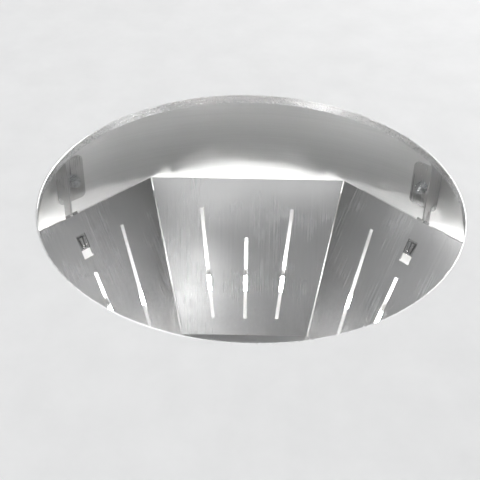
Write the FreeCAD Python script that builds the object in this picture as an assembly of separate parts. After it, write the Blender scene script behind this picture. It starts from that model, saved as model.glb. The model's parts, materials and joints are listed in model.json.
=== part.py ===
import FreeCAD, Part
import math
import os

# Island range hood, millimetres. X runs along the long side, Y across it, Z up.
# The pieces are drawn with heights counted up from the hood's underside; save()
# then lowers them so that the ceiling plate's top face, the mount, is at Z = 0.

# --- overall sizes -----------------------------------------------------------
TOTAL_HEIGHT = 1000.0        # underside to ceiling
CANOPY_END_ROOM = 164.0      # along X, between the drum and each end
CANOPY_SIDE_ROOM = 14.0      # along Y, between the drum and each side
CANOPY_CORNER_R = 12.0
SKIRT_HEIGHT = 216.0         # straight lower part of the canopy
TOP_END_ROOM = 37.0          # flat top of the tapered part, past the plenum cone
TOP_SIDE_ROOM = 15.0
CHIMNEY_LENGTH = 400.0
CHIMNEY_WIDTH = 320.0
CHIMNEY_CORNER_R = 6.0
LOWER_COVER_LENGTH = 430.0
COVER_OVERLAP = 60.0

# --- sheet thicknesses and general clearances --------------------------------
SHELL_T = 1.5                # canopy and chimney sheet
LINER_T = 1.2                # drum, funnel and plenum sheet
BOARD_T = 8.0                # underside board
FIT_GAP = 0.3                # between pieces that nearly touch
SLIDE_GAP = 0.8              # chimney covers, each side
PIN_GAP = 0.05               # radial, pins in their eyes
HOLE_GAP = 0.2               # radial, screws and studs in their holes
FLANGE_W = 20.0
FLANGE_DRUM_GAP = 2.2

# --- round opening, rim and drum ---------------------------------------------
OPENING_R = 200.0
RIM_FLANGE_W = 24.0
DRUM_R = 336.0               # inside
DRUM_TOP = 206.0
DRUM_FLANGE_W = 12.0
DRUM_TOP_FLANGE_W = 9.0

# --- eight-sided funnel ------------------------------------------------------
SIDES = 8
FUNNEL_WIDE_Z = 183.6
FUNNEL_CORNER_GAP = 1.7574   # from the wide end to the drum, at a corner
FUNNEL_NARROW_Z = 369.6
FUNNEL_DROP = 103.9          # how much the narrow end is nearer the axis
SEAM_GAP = 1.8
SIDE_FLANGE_DEPTH = 8.0
SIDE_FLANGE_START = 24.0
SIDE_FLANGE_END_GAP = 6.0
WIDE_LIP_HALF = 98.0
WIDE_LIP_MIDDLE_GAP = 14.0
SLOT_WIDTH = 4.6
SLOT_END = 189.0             # along the slope from the wide edge
OUTER_SLOT_START = 39.2
OUTER_SLOT_WIDE_U = 60.6
OUTER_SLOT_NARROW_U = 43.0
MIDDLE_SLOT_START = 78.6

# --- hinges and throat frame -------------------------------------------------
HINGE_ROD_R = 2.5
HINGE_DEPTH = 7.0            # behind the panel's inner face
HINGE_INSET = 1.0            # from the narrow edge
KNUCKLE_R = 4.5
KNUCKLE_INNER_U = 40.0
KNUCKLE_OUTER_U = 56.0
LUG_INNER_U = 70.0
LUG_T = 2.5
LUG_NARROW_SIDE = 3.5
LUG_WIDE_SIDE = 5.5
ROD_OVERHANG = 1.5
FRAME_RISE = 8.5             # frame above the hinge line
FRAME_HEIGHT = 12.0
FRAME_INSET = 1.0
FRAME_WIDTH = 15.0

# --- finger catches ----------------------------------------------------------
WINDOW_HALF_W = 7.0
WINDOW_START = 26.0
WINDOW_ROOM = 4.0            # past the grip at the end of its travel
CATCH_TRAVEL = 8.0
CATCH_HALF_W = 9.0
CATCH_T = 1.2
CATCH_REACH = 3.0            # tip beyond the wide edge
CATCH_END = 46.0
CATCH_FORK_HALF = 2.2
GRIP_START = 29.0
GRIP_LENGTH = 16.0
GRIP_WIDE_R = 5.6
GRIP_NARROW_R = 4.2
GRIP_WALL = 0.9
GUIDE_START = 5.0
GUIDE_ROOM = 2.0             # past the catch at the end of its travel
GUIDE_WALL = 1.2
GUIDE_LIP_W = 2.0
CATCH_SPRING_R = 2.0
CATCH_SPRING_WIRE_R = 0.35
CATCH_SPRING_TURNS = 6
SPRING_SEAT_ON_CATCH = 8.0
SPRING_SEAT_ON_PANEL = 25.0
SPRING_SEAT_HEIGHT = 8.6

# --- brackets on the drum wall -----------------------------------------------
BRACKET_T = 2.0
BRACKET_BOTTOM = 60.0
BRACKET_DEPTH = 26.0         # radial leg, from the drum wall inwards
BRACKET_NOTCH_DEPTH = 12.0
BRACKET_NOTCH_Z = 168.0
WALL_LEG_W = 38.0
WALL_LEG_BOTTOM = 120.0
WALL_LEG_TOP = 182.0
WALL_LEG_CORNER_R = 7.0
STUD_OFFSET = 22.0
STUD_Z = 152.0
STUD_R = 4.0
STUD_REACH = 16.0            # from the drum wall inwards
STUD_HEAD_R = 7.0
STUD_HEAD_T = 1.5
WASHER_R = 8.5
WASHER_T = 1.6
NUT_FLATS = 13.0
NUT_HEIGHT = 6.5

# --- plenum cone and lights --------------------------------------------------
CONE_TAPER = 73.0
BAR_HALF_LENGTH = 60.0
BAR_START = 135.0
BAR_WIDTH = 20.0
BAR_DEPTH = 26.0             # behind the panel's inner face
BAR_T = 10.0
BAR_LEG_R = 4.0
BAR_LEG_U = 44.0
LENS_T = 3.0
DRIVER_SIZE = (70.0, 120.0, 25.0)
DRIVER_DRUM_ROOM = 34.0

# --- blower ------------------------------------------------------------------
AXIS_ABOVE_CANOPY = 160.0
HOUSING_R = 128.0
HOUSING_HALF_LENGTH = 90.0
HOUSING_NECK_HALF = 90.0
HOUSING_NECK_HEIGHT = 165.0
INLET_R = 80.0
EAR_HALF_LENGTH = 60.0
EAR_HALF_HEIGHT = 10.0
WHEEL_R = 98.0
WHEEL_HALF_LENGTH = 70.0
WHEEL_BLADES = 32
BLADE_DEPTH = 18.0
BLADE_T = 1.2
BLADE_LEAN = 28.0
WHEEL_RING_W = 14.0
WHEEL_RING_T = 3.0
WHEEL_DISC_T = 1.5
HUB_R = 12.0
HUB_HALF_LENGTH = 9.0
SHAFT_R = 4.0
MOTOR_R = 45.0
MOTOR_START = 14.0
MOTOR_LENGTH = 82.0
MOTOR_WALL = 2.0
ROTOR_R = 22.0
STATOR_BORE_R = 23.0
STATOR_LENGTH = 46.0
BEARING_R = 11.0
BEARING_W = 7.0
SPIDER_T = 2.0
SPIDER_ARM_W = 14.0
SPIDER_FOOT_R = 96.0
SPIDER_REACH = 110.0
CAPACITOR_R = 15.0
CAPACITOR_LENGTH = 60.0
CAPACITOR_Y = 20.0

# --- outlet collar and damper ------------------------------------------------
COLLAR_R = 74.5              # outside, for a 150 mm duct
COLLAR_T = 1.5
COLLAR_HEIGHT = 60.0
COLLAR_FLANGE_R = 86.0
DAMPER_PIN_R = 2.0
DAMPER_HEIGHT = 25.0
FLAP_T = 1.2
FLAP_EDGE_GAP = 1.6
FLAP_START = 4.0
FLAP_KNUCKLE_R = 3.5
FLAP_KNUCKLE_W = 18.0
FLAP_KNUCKLE_STEP = 19.0
SEAT_TAB_HALF = 5.0
SEAT_TAB_DEPTH = 5.0

# --- support frame and ceiling plate -----------------------------------------
RAIL_LEG = 25.0
RAIL_T = 2.0
RAIL_INSET = 10.0            # rail corner inside the lower cover's outside
FOOT_T = 3.0
BAR_HOLDER_T = 4.0
BAR_HOLDER_HALF_H = 12.0
PLATE_T = 4.0
PLATE_GAP = 0.2
MOUNT_SPACING_X = 280.0
MOUNT_SPACING_Y = 200.0
MOUNT_HOLE_R = 4.5
DUCT_HOLE_R = 80.0
AIR_HOLE_HALF_X = 150.0
AIR_HOLE_HALF_Y = 115.0
AIR_HOLE_CORNER_R = 20.0
PLATE_LUG_HALF = 10.0
PLATE_LUG_HEIGHT = 20.0
COVER_SCREW_DROP = 14.0
GUIDE_TAB_HALF = 20.0
GUIDE_TAB_HEIGHT = 20.0
GUIDE_TAB_GAP = 0.5
TERMINAL_BOX = (80.0, 90.0, 40.0)
TERMINAL_X = -140.0
TERMINAL_WALL = 2.0
GLAND_R = 8.0
GLAND_LENGTH = 16.0
GROMMET_R = 10.0
GROMMET_BORE_R = 6.0
GROMMET_Y = 66.0
GROMMET_LIP = 3.0

# --- controls ----------------------------------------------------------------
FASCIA_X = 350.0
FASCIA_HALF_LENGTH = 85.0
FASCIA_HALF_HEIGHT = 15.0
FASCIA_LIP = 4.0
FASCIA_LIP_T = 1.5
FASCIA_BODY_T = 5.0
FASCIA_HEIGHT = 108.0
BUTTON_NAMES = ("fan_off_button", "fan_low_button", "fan_middle_button", "fan_high_button", "light_button")
BUTTON_SPACING = 30.0
BUTTON_R = 7.0
BUTTON_GAP = 0.15
BUTTON_PROUD = 2.5
BUTTON_FLANGE_R = 8.6
BUTTON_FLANGE_T = 1.5
BUTTON_STEM_R = 2.0
BUTTON_STEM_LENGTH = 2.7
BUTTON_TRAVEL = 1.5
SWITCH_HALF = 3.0
SWITCH_HEIGHT = 4.0
BOARD_POST_R = 2.5
BOARD_POST_X = 72.5
CIRCUIT_HALF_LENGTH = 76.0
CIRCUIT_HALF_HEIGHT = 11.0
CIRCUIT_T = 1.6

# --- screws ------------------------------------------------------------------
SMALL_SCREW_R = 2.0
SMALL_HEAD_R = 3.8
SMALL_HEAD_H = 2.4
BOLT_R = 3.0
BOLT_HEAD_R = 5.0
BOLT_HEAD_H = 4.0
SKIRT_SCREW_PLACES = ((420.0, 1), (300.0, 1), (420.0, -1), (300.0, -1))
END_SCREW_Y = 200.0

# --- sizes that follow from the ones above -----------------------------------
HALF_L = DRUM_R + CANOPY_END_ROOM
HALF_W = DRUM_R + CANOPY_SIDE_ROOM
SIDE_ANGLE = 360.0 / SIDES
HALF_SIDE = math.radians(SIDE_ANGLE / 2)
FUNNEL_WIDE_R = (DRUM_R - FUNNEL_CORNER_GAP) * math.cos(HALF_SIDE)   # to the middle of a side
FUNNEL_NARROW_R = FUNNEL_WIDE_R - FUNNEL_DROP
RISE = FUNNEL_NARROW_Z - FUNNEL_WIDE_Z
SLOPE_LENGTH = math.hypot(FUNNEL_DROP, RISE)
SLOPE_COS = FUNNEL_DROP / SLOPE_LENGTH
SLOPE_SIN = RISE / SLOPE_LENGTH
WIDE_HALF = FUNNEL_WIDE_R * math.tan(HALF_SIDE) - SEAM_GAP / 2
NARROW_HALF = FUNNEL_NARROW_R * math.tan(HALF_SIDE) - SEAM_GAP / 2
HINGE_V = SLOPE_LENGTH - HINGE_INSET
HINGE_X = FUNNEL_WIDE_R - HINGE_V * SLOPE_COS + HINGE_DEPTH * SLOPE_SIN
HINGE_Z = FUNNEL_WIDE_Z + HINGE_V * SLOPE_SIN + HINGE_DEPTH * SLOPE_COS
FRAME_BOTTOM = HINGE_Z + FRAME_RISE
FRAME_TOP = FRAME_BOTTOM + FRAME_HEIGHT
FRAME_INNER = FUNNEL_NARROW_R - FRAME_INSET
CONE_BASE_R = DRUM_R + DRUM_TOP_FLANGE_W
CONE_TOP_R = DRUM_R - CONE_TAPER
TOP_LENGTH = 2 * (CONE_TOP_R + TOP_END_ROOM)
TOP_WIDTH = 2 * (CONE_TOP_R + TOP_SIDE_ROOM)
BRACKET_INNER_R = DRUM_R - BRACKET_DEPTH
BRACKET_NOTCH_R = DRUM_R - BRACKET_NOTCH_DEPTH
STUD_INNER_END = DRUM_R - STUD_REACH
DRIVER_X = -(DRUM_R + DRIVER_DRUM_ROOM + DRIVER_SIZE[0] / 2)
CONE_LID_TOP = FRAME_TOP + LINER_T
CANOPY_TOP = CONE_LID_TOP + SHELL_T
CATCH_BACK = LINER_T + FIT_GAP
GUIDE_LIP_BACK = CATCH_BACK + CATCH_T + FIT_GAP
DRUM_OUTER = DRUM_R + LINER_T
WINDOW_END = GRIP_START + GRIP_LENGTH + CATCH_TRAVEL + WINDOW_ROOM
GUIDE_END = CATCH_END + CATCH_TRAVEL + GUIDE_ROOM
AXIS_Z = CANOPY_TOP + AXIS_ABOVE_CANOPY
HOUSING_TOP = AXIS_Z + HOUSING_NECK_HEIGHT
DAMPER_Z = HOUSING_TOP + DAMPER_HEIGHT
LOWER_HALF_L = CHIMNEY_LENGTH / 2
LOWER_HALF_W = CHIMNEY_WIDTH / 2
UPPER_HALF_L = LOWER_HALF_L - SHELL_T - SLIDE_GAP
UPPER_HALF_W = LOWER_HALF_W - SHELL_T - SLIDE_GAP
UPPER_CORNER_R = CHIMNEY_CORNER_R - SHELL_T - SLIDE_GAP
PLATE_HALF_L = UPPER_HALF_L - SHELL_T - PLATE_GAP
PLATE_HALF_W = UPPER_HALF_W - SHELL_T - PLATE_GAP
PLATE_BOTTOM = TOTAL_HEIGHT - PLATE_T
RAIL_X = LOWER_HALF_L - RAIL_INSET
RAIL_Y = LOWER_HALF_W - RAIL_INSET
HOLDER_Y = RAIL_Y - RAIL_T
LOWER_COVER_TOP = CANOPY_TOP + LOWER_COVER_LENGTH
HINGED_AZIMUTHS = (45.0, 135.0, 225.0, 315.0)
FIXED_AZIMUTHS = (0.0, 90.0, 180.0, 270.0)
CORNER_NAMES = ("a", "b", "c", "d")
SIDE_NAMES = ("end_1", "side_1", "end_2", "side_2")

V = FreeCAD.Vector
Z_AXIS = V(0, 0, 1)
X_AXIS = V(1, 0, 0)
Y_AXIS = V(0, 1, 0)


def box(x0, x1, y0, y1, z0, z1):
    """Block between two corners."""
    return Part.makeBox(x1 - x0, y1 - y0, z1 - z0, V(x0, y0, z0))


def tube(inner, outer, z0, z1):
    """Upright ring about the Z axis."""
    return Part.makeCylinder(outer, z1 - z0, V(0, 0, z0)).cut(Part.makeCylinder(inner, z1 - z0, V(0, 0, z0)))


def along_x(radius, x0, x1, y=0.0, z=0.0):
    """Cylinder that runs along X."""
    return Part.makeCylinder(radius, x1 - x0, V(x0, y, z), X_AXIS)


def along_y(radius, y0, y1, x=0.0, z=0.0):
    """Cylinder that runs along Y."""
    return Part.makeCylinder(radius, y1 - y0, V(x, y0, z), Y_AXIS)


def prism(points, depth, direction=Z_AXIS):
    """Closed outline pushed along a direction."""
    face = Part.Face(Part.makePolygon(list(points) + [points[0]]))
    return face.extrude(direction * depth)


def octagon(apothem, z0, z1):
    """Eight-sided block with its flats across the X and Y axes."""
    corner = apothem / math.cos(HALF_SIDE)
    angles = [HALF_SIDE + i * math.radians(SIDE_ANGLE) for i in range(SIDES)]
    return prism([V(corner * math.cos(a), corner * math.sin(a), z0) for a in angles], z1 - z0)


def rounded_outline(half_x, half_y, radius, z):
    """Rectangle with round corners, as one wire."""
    edges = []
    corners = ((1, 1, 0), (-1, 1, 90), (-1, -1, 180), (1, -1, 270))
    arcs = [
        Part.makeCircle(radius, V(sx * (half_x - radius), sy * (half_y - radius), z), Z_AXIS, start, start + 90)
        for sx, sy, start in corners
    ]
    for arc, following in zip(arcs, arcs[1:] + arcs[:1]):
        edges.append(arc)
        edges.append(Part.makeLine(arc.lastVertex().Point, following.firstVertex().Point))
    return Part.Wire(edges)


def slab(half_x, half_y, radius, z0, z1):
    """Block with round upright corners."""
    return Part.Face(rounded_outline(half_x, half_y, radius, z0)).extrude(V(0, 0, z1 - z0))


def taper(low, high, radius, z0, z1):
    """Block that tapers between two rounded rectangles, given as half sizes."""
    outlines = [rounded_outline(*low, radius, z0), rounded_outline(*high, radius, z1)]
    return Part.makeLoft(outlines, True, True)


def turned(shape, degrees):
    """Copy of a shape, turned about the Z axis."""
    copy = shape.copy()
    copy.rotate(V(0, 0, 0), Z_AXIS, degrees)
    return copy


def moved(shape, x=0.0, y=0.0, z=0.0):
    """Copy of a shape, shifted."""
    copy = shape.copy()
    copy.translate(V(x, y, z))
    return copy


def joined(shapes):
    """Shapes fused into one solid."""
    return shapes[0].fuse(list(shapes[1:])).removeSplitter()


def pan_screw(radius, length, head_r, head_h, seat, direction):
    """Screw with a round head that sits on a seat and a shank along the direction."""
    head = Part.makeCylinder(head_r, head_h, seat, direction * -1)
    return joined([head, Part.makeCylinder(radius, length, seat, direction)])


def coil(radius, wire_r, turns, length):
    """Coil spring that stands on the XY plane."""
    helix = Part.makeHelix(length / turns, length, radius)
    section = Part.Wire(Part.makeCircle(wire_r, V(radius, 0, 0), Y_AXIS))
    return Part.Wire(helix.Edges).makePipeShell([section], True, True)


def save(name, shapes):
    """Lower the piece to the ceiling datum and write it as one STEP file."""
    group = shapes if isinstance(shapes, (list, tuple)) else [shapes]
    lowered = [moved(shape, z=-TOTAL_HEIGHT) for shape in group]
    piece = lowered[0] if len(lowered) == 1 else Part.makeCompound(lowered)
    piece.exportStep("parts/" + name + ".step")


# --- funnel panels, drawn flat: X across, Y up the slope, Z away from the viewer ---

def on_slope(shape, azimuth):
    """Move a shape from the flat panel drawing to its side of the funnel."""
    to_slope = FreeCAD.Matrix(
        0, -SLOPE_COS, SLOPE_SIN, FUNNEL_WIDE_R,
        1, 0, 0, 0,
        0, SLOPE_SIN, SLOPE_COS, FUNNEL_WIDE_Z,
        0, 0, 0, 1,
    )
    return turned(shape.transformGeometry(to_slope), azimuth)


def edge_u(v):
    """Half width of a panel at a distance up the slope."""
    return WIDE_HALF + (NARROW_HALF - WIDE_HALF) * v / SLOPE_LENGTH


def slot_cutter(u0, v0, u1, v1):
    """Long straight cut between two points of the panel."""
    run = V(u1 - u0, v1 - v0, 0)
    side = V(-run.y, run.x, 0) * (SLOT_WIDTH / 2 / run.Length)
    start = V(u0, v0, -LINER_T)
    end = V(u1, v1, -LINER_T)
    return prism([start + side, start - side, end - side, end + side], 3 * LINER_T)


def flat_panel(lip_gap):
    """Trapezoid sheet with folded side flanges, a folded wide edge and three slots."""
    corners = [V(-WIDE_HALF, 0, 0), V(WIDE_HALF, 0, 0), V(NARROW_HALF, SLOPE_LENGTH, 0)]
    corners.append(V(-NARROW_HALF, SLOPE_LENGTH, 0))
    pieces = [prism(corners, LINER_T)]
    flange_end = SLOPE_LENGTH - SIDE_FLANGE_END_GAP
    for side in (-1, 1):
        low = side * edge_u(SIDE_FLANGE_START)
        high = side * edge_u(flange_end)
        fold = side * LINER_T
        outline = [V(low, SIDE_FLANGE_START, 0), V(high, flange_end, 0)]
        outline += [V(high - fold, flange_end, 0), V(low - fold, SIDE_FLANGE_START, 0)]
        pieces.append(prism(outline, SIDE_FLANGE_DEPTH))
        low_u, high_u = sorted((side * lip_gap, side * WIDE_LIP_HALF))
        pieces.append(box(low_u, high_u, 0, LINER_T, 0, SIDE_FLANGE_DEPTH))
    sheet = joined(pieces)
    cuts = [slot_cutter(0, MIDDLE_SLOT_START, 0, SLOT_END)]
    for side in (-1, 1):
        cuts.append(slot_cutter(side * OUTER_SLOT_WIDE_U, OUTER_SLOT_START, side * OUTER_SLOT_NARROW_U, SLOT_END))
    return sheet.cut(cuts)


def fixed_panel(azimuth):
    """Panel with an upright lip that meets the throat frame."""
    lip_half = NARROW_HALF - SEAM_GAP
    lip = box(
        FUNNEL_NARROW_R, FUNNEL_NARROW_R + LINER_T, -lip_half, lip_half, FUNNEL_NARROW_Z - LINER_T, FRAME_BOTTOM
    )
    return joined([on_slope(flat_panel(0.0), azimuth), turned(lip, azimuth)])


def hinged_panel(azimuth):
    """Panel with hinge knuckles, a catch window and the catch's guide rails."""
    window = box(-WINDOW_HALF_W, WINDOW_HALF_W, WINDOW_START, WINDOW_END, -LINER_T, 2 * LINER_T)
    pieces = [flat_panel(WIDE_LIP_MIDDLE_GAP).cut(window)]
    bores = []
    for side in (-1, 1):
        low, high = sorted((side * KNUCKLE_INNER_U, side * KNUCKLE_OUTER_U))
        pieces.append(along_x(KNUCKLE_R, low, high, HINGE_V, HINGE_DEPTH))
        pieces.append(box(low, high, HINGE_V - KNUCKLE_R, SLOPE_LENGTH, LINER_T / 2, HINGE_DEPTH))
        bores.append(along_x(HINGE_ROD_R + PIN_GAP, low, high, HINGE_V, HINGE_DEPTH))
        wall = side * (CATCH_HALF_W + FIT_GAP)
        rail_in, rail_out = sorted((wall, wall + side * GUIDE_WALL))
        lip_in, lip_out = sorted((wall - side * GUIDE_LIP_W, wall + side * GUIDE_WALL))
        back = GUIDE_LIP_BACK + GUIDE_WALL
        pieces.append(box(rail_in, rail_out, GUIDE_START, GUIDE_END, LINER_T / 2, back))
        pieces.append(box(lip_in, lip_out, GUIDE_START, GUIDE_END, GUIDE_LIP_BACK, back))
    reach = CATCH_HALF_W + FIT_GAP + GUIDE_WALL
    seat_back = GUIDE_LIP_BACK + GUIDE_WALL / 2
    pieces.append(
        box(-reach, reach, SPRING_SEAT_ON_PANEL, SPRING_SEAT_ON_PANEL + LINER_T, seat_back, SPRING_SEAT_HEIGHT)
    )
    return on_slope(joined(pieces).cut(bores), azimuth)


def finger_catch(azimuth):
    """Sliding catch: forked plate behind the panel with a scooped grip in the window."""
    plate = box(-CATCH_HALF_W, CATCH_HALF_W, -CATCH_REACH, CATCH_END, CATCH_BACK, CATCH_BACK + CATCH_T)
    fork = box(-CATCH_FORK_HALF, CATCH_FORK_HALF, -CATCH_REACH, CATCH_REACH, 0, 2 * CATCH_BACK + CATCH_T)
    seat = box(
        -CATCH_SPRING_R, CATCH_SPRING_R, SPRING_SEAT_ON_CATCH, SPRING_SEAT_ON_CATCH + CATCH_T,
        CATCH_BACK + CATCH_T / 2, SPRING_SEAT_HEIGHT,
    )
    start = V(0, GRIP_START, CATCH_BACK)
    outer = Part.makeCone(GRIP_WIDE_R, GRIP_NARROW_R, GRIP_LENGTH, start, Y_AXIS)
    hollow = Part.makeCone(
        GRIP_WIDE_R - GRIP_WALL, GRIP_NARROW_R - GRIP_WALL, GRIP_LENGTH - GRIP_WALL, start, Y_AXIS
    )
    behind = box(-GRIP_WIDE_R, GRIP_WIDE_R, 0, 2 * CATCH_END, CATCH_BACK + CATCH_T / 2, 4 * GRIP_WIDE_R)
    scoop = outer.cut(hollow).cut(behind)
    return on_slope(joined([plate.cut(fork), seat, scoop]), azimuth)


def catch_spring(azimuth):
    """Coil spring between the catch's seat and the panel's seat."""
    start = SPRING_SEAT_ON_CATCH + CATCH_T + CATCH_SPRING_WIRE_R
    length = SPRING_SEAT_ON_PANEL - CATCH_SPRING_WIRE_R - start
    spring = coil(CATCH_SPRING_R, CATCH_SPRING_WIRE_R, CATCH_SPRING_TURNS, length)
    spring.rotate(V(0, 0, 0), X_AXIS, -90)
    height = GUIDE_LIP_BACK + GUIDE_WALL + CATCH_SPRING_R + CATCH_SPRING_WIRE_R + FIT_GAP
    spring.translate(V(0, start, height))
    return on_slope(spring, azimuth)


def hinge_rod(azimuth):
    """Round rod along a hinged panel's narrow edge."""
    half = LUG_INNER_U + LUG_T + ROD_OVERHANG
    return turned(along_y(HINGE_ROD_R, -half, half, HINGE_X, HINGE_Z), azimuth)


def throat_frame():
    """Eight-sided frame at the narrow end, with a pair of lugs for each hinge rod."""
    ring = octagon(FRAME_INNER + FRAME_WIDTH, FRAME_BOTTOM, FRAME_TOP).cut(
        octagon(FRAME_INNER, FRAME_BOTTOM, FRAME_TOP)
    )
    pieces = [ring]
    bores = []
    for azimuth in HINGED_AZIMUTHS:
        for side in (-1, 1):
            low, high = sorted((side * LUG_INNER_U, side * (LUG_INNER_U + LUG_T)))
            lug = box(
                HINGE_X - LUG_NARROW_SIDE, HINGE_X + LUG_WIDE_SIDE, low, high,
                HINGE_Z - KNUCKLE_R, FRAME_BOTTOM + LINER_T,
            )
            pieces.append(turned(lug, azimuth))
            bores.append(turned(along_y(HINGE_ROD_R + PIN_GAP, low, high, HINGE_X, HINGE_Z), azimuth))
    return joined(pieces).cut(bores)


# --- canopy, underside, rim and drum -----------------------------------------

def drum_clearance(z0, z1):
    """Round space that the canopy's inner flanges leave free for the drum and cone."""
    return Part.makeCylinder(CONE_BASE_R + LINER_T + FLANGE_DRUM_GAP, z1 - z0, V(0, 0, z0))


def inner_flange(half_x, half_y, z0, z1):
    """Flat flange round the inside of the canopy."""
    outer = box(-half_x, half_x, -half_y, half_y, z0, z1)
    inner = box(-half_x + FLANGE_W, half_x - FLANGE_W, -half_y + FLANGE_W, half_y - FLANGE_W, z0, z1)
    return outer.cut([inner, drum_clearance(z0, z1)])


def screw_spots():
    """Places along the canopy's inner flange that take a screw."""
    y = HALF_W - SHELL_T - FLANGE_W / 2
    x = HALF_L - SHELL_T - FLANGE_W / 2
    spots = [V(sx * px, side * y, 0) for px, side in SKIRT_SCREW_PLACES for sx in (-1, 1)]
    return spots + [V(sx * x, sy * END_SCREW_Y, 0) for sx in (-1, 1) for sy in (-1, 1)]


def canopy_skirt():
    """Straight lower wall of the canopy with a flange at its foot and at its top."""
    wall = slab(HALF_L, HALF_W, CANOPY_CORNER_R, 0, SKIRT_HEIGHT).cut(
        slab(HALF_L - SHELL_T, HALF_W - SHELL_T, CANOPY_CORNER_R - SHELL_T, 0, SKIRT_HEIGHT)
    )
    inside_x = HALF_L - SHELL_T / 2
    inside_y = HALF_W - SHELL_T / 2
    bound = slab(inside_x, inside_y, CANOPY_CORNER_R - SHELL_T / 2, 0, SKIRT_HEIGHT)
    foot = inner_flange(inside_x, inside_y, BOARD_T, BOARD_T + SHELL_T).common(bound)
    top = inner_flange(inside_x, inside_y, SKIRT_HEIGHT - SHELL_T, SKIRT_HEIGHT).common(bound)
    window_x = FASCIA_HALF_LENGTH - FASCIA_LIP + FIT_GAP
    window_z = FASCIA_HALF_HEIGHT - FASCIA_LIP + FIT_GAP
    window = box(
        FASCIA_X - window_x, FASCIA_X + window_x, -HALF_W - SHELL_T, -HALF_W + 2 * SHELL_T,
        FASCIA_HEIGHT - window_z, FASCIA_HEIGHT + window_z,
    )
    holes = [Part.makeCylinder(SMALL_SCREW_R + HOLE_GAP, SKIRT_HEIGHT, spot) for spot in screw_spots()]
    return joined([wall, foot, top]).cut([window] + holes)


def canopy_top():
    """Tapered upper shell with a flat top that carries the chimney frame."""
    half_x = TOP_LENGTH / 2
    half_y = TOP_WIDTH / 2
    outer = taper((HALF_L, HALF_W), (half_x, half_y), CANOPY_CORNER_R, SKIRT_HEIGHT, CANOPY_TOP)
    inner = taper(
        (HALF_L - SHELL_T, HALF_W - SHELL_T), (half_x - SHELL_T, half_y - SHELL_T),
        CANOPY_CORNER_R - SHELL_T, SKIRT_HEIGHT, CONE_LID_TOP,
    )
    shell = outer.cut(inner)
    flange = inner_flange(HALF_L, HALF_W, SKIRT_HEIGHT, SKIRT_HEIGHT + SHELL_T).common(outer)
    pieces = [shell, flange]
    tab_x = LOWER_HALF_L - SHELL_T - GUIDE_TAB_GAP
    tab_y = LOWER_HALF_W - SHELL_T - GUIDE_TAB_GAP
    tab_z = CANOPY_TOP + GUIDE_TAB_HEIGHT
    for side in (-1, 1):
        x0, x1 = sorted((side * tab_x, side * (tab_x - SHELL_T)))
        y0, y1 = sorted((side * tab_y, side * (tab_y - SHELL_T)))
        pieces.append(box(x0, x1, -GUIDE_TAB_HALF, GUIDE_TAB_HALF, CANOPY_TOP - SHELL_T / 2, tab_z))
        pieces.append(box(-GUIDE_TAB_HALF, GUIDE_TAB_HALF, y0, y1, CANOPY_TOP - SHELL_T / 2, tab_z))
    air_hole = slab(AIR_HOLE_HALF_X, AIR_HOLE_HALF_Y, AIR_HOLE_CORNER_R, FRAME_TOP, CANOPY_TOP + SHELL_T)
    holes = [Part.makeCylinder(SMALL_SCREW_R + HOLE_GAP, SKIRT_HEIGHT + 2 * SHELL_T, spot) for spot in screw_spots()]
    for x, y in rail_bolt_spots():
        holes.append(Part.makeCylinder(BOLT_R + HOLE_GAP, 2 * BOLT_HEAD_H, V(x, y, CANOPY_TOP - BOLT_HEAD_H)))
    return joined(pieces).cut([air_hole] + holes)


def skirt_screws():
    """Screws that hold the tapered top on the skirt."""
    seat = SKIRT_HEIGHT + SHELL_T
    down = V(0, 0, -1)
    return [
        pan_screw(SMALL_SCREW_R, 4 * SHELL_T, SMALL_HEAD_R, SMALL_HEAD_H, spot + V(0, 0, seat), down)
        for spot in screw_spots()
    ]


def panel_screws():
    """Screws that hold the underside board to the skirt's foot flange."""
    seat = BOARD_T + SHELL_T
    down = V(0, 0, -1)
    return [
        pan_screw(SMALL_SCREW_R, SHELL_T + BOARD_T / 2, SMALL_HEAD_R, SMALL_HEAD_H, spot + V(0, 0, seat), down)
        for spot in screw_spots()
    ]


def underside_panel():
    """White board with the round opening and blind holes for its screws."""
    half_x = HALF_L - SHELL_T - FIT_GAP
    half_y = HALF_W - SHELL_T - FIT_GAP
    board = slab(half_x, half_y, CANOPY_CORNER_R - SHELL_T - FIT_GAP, 0, BOARD_T)
    opening = Part.makeCylinder(OPENING_R + LINER_T + HOLE_GAP, BOARD_T)
    depth = BOARD_T / 2 + HOLE_GAP
    holes = [
        Part.makeCylinder(SMALL_SCREW_R + HOLE_GAP / 2, depth, spot + V(0, 0, BOARD_T - depth))
        for spot in screw_spots()
    ]
    return board.cut([opening] + holes)


def rim_ring():
    """Thin steel band through the opening with a flange on top of the board."""
    band = tube(OPENING_R, OPENING_R + LINER_T, 0, BOARD_T + LINER_T)
    flange = tube(OPENING_R, OPENING_R + RIM_FLANGE_W, BOARD_T, BOARD_T + LINER_T)
    return joined([band, flange])


def liner_drum():
    """Round wall with an inward foot flange, an outward top flange and stud holes."""
    wall = tube(DRUM_R, DRUM_OUTER, BOARD_T, DRUM_TOP)
    foot = tube(DRUM_R - DRUM_FLANGE_W, DRUM_OUTER, BOARD_T, BOARD_T + LINER_T)
    top = tube(DRUM_R, CONE_BASE_R + LINER_T, DRUM_TOP - LINER_T, DRUM_TOP)
    holes = [stud_bar(azimuth, STUD_R + HOLE_GAP, DRUM_R - DRUM_FLANGE_W, 2 * DRUM_FLANGE_W)
             for azimuth in HINGED_AZIMUTHS]
    return joined([wall, foot, top]).cut(holes)


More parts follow.
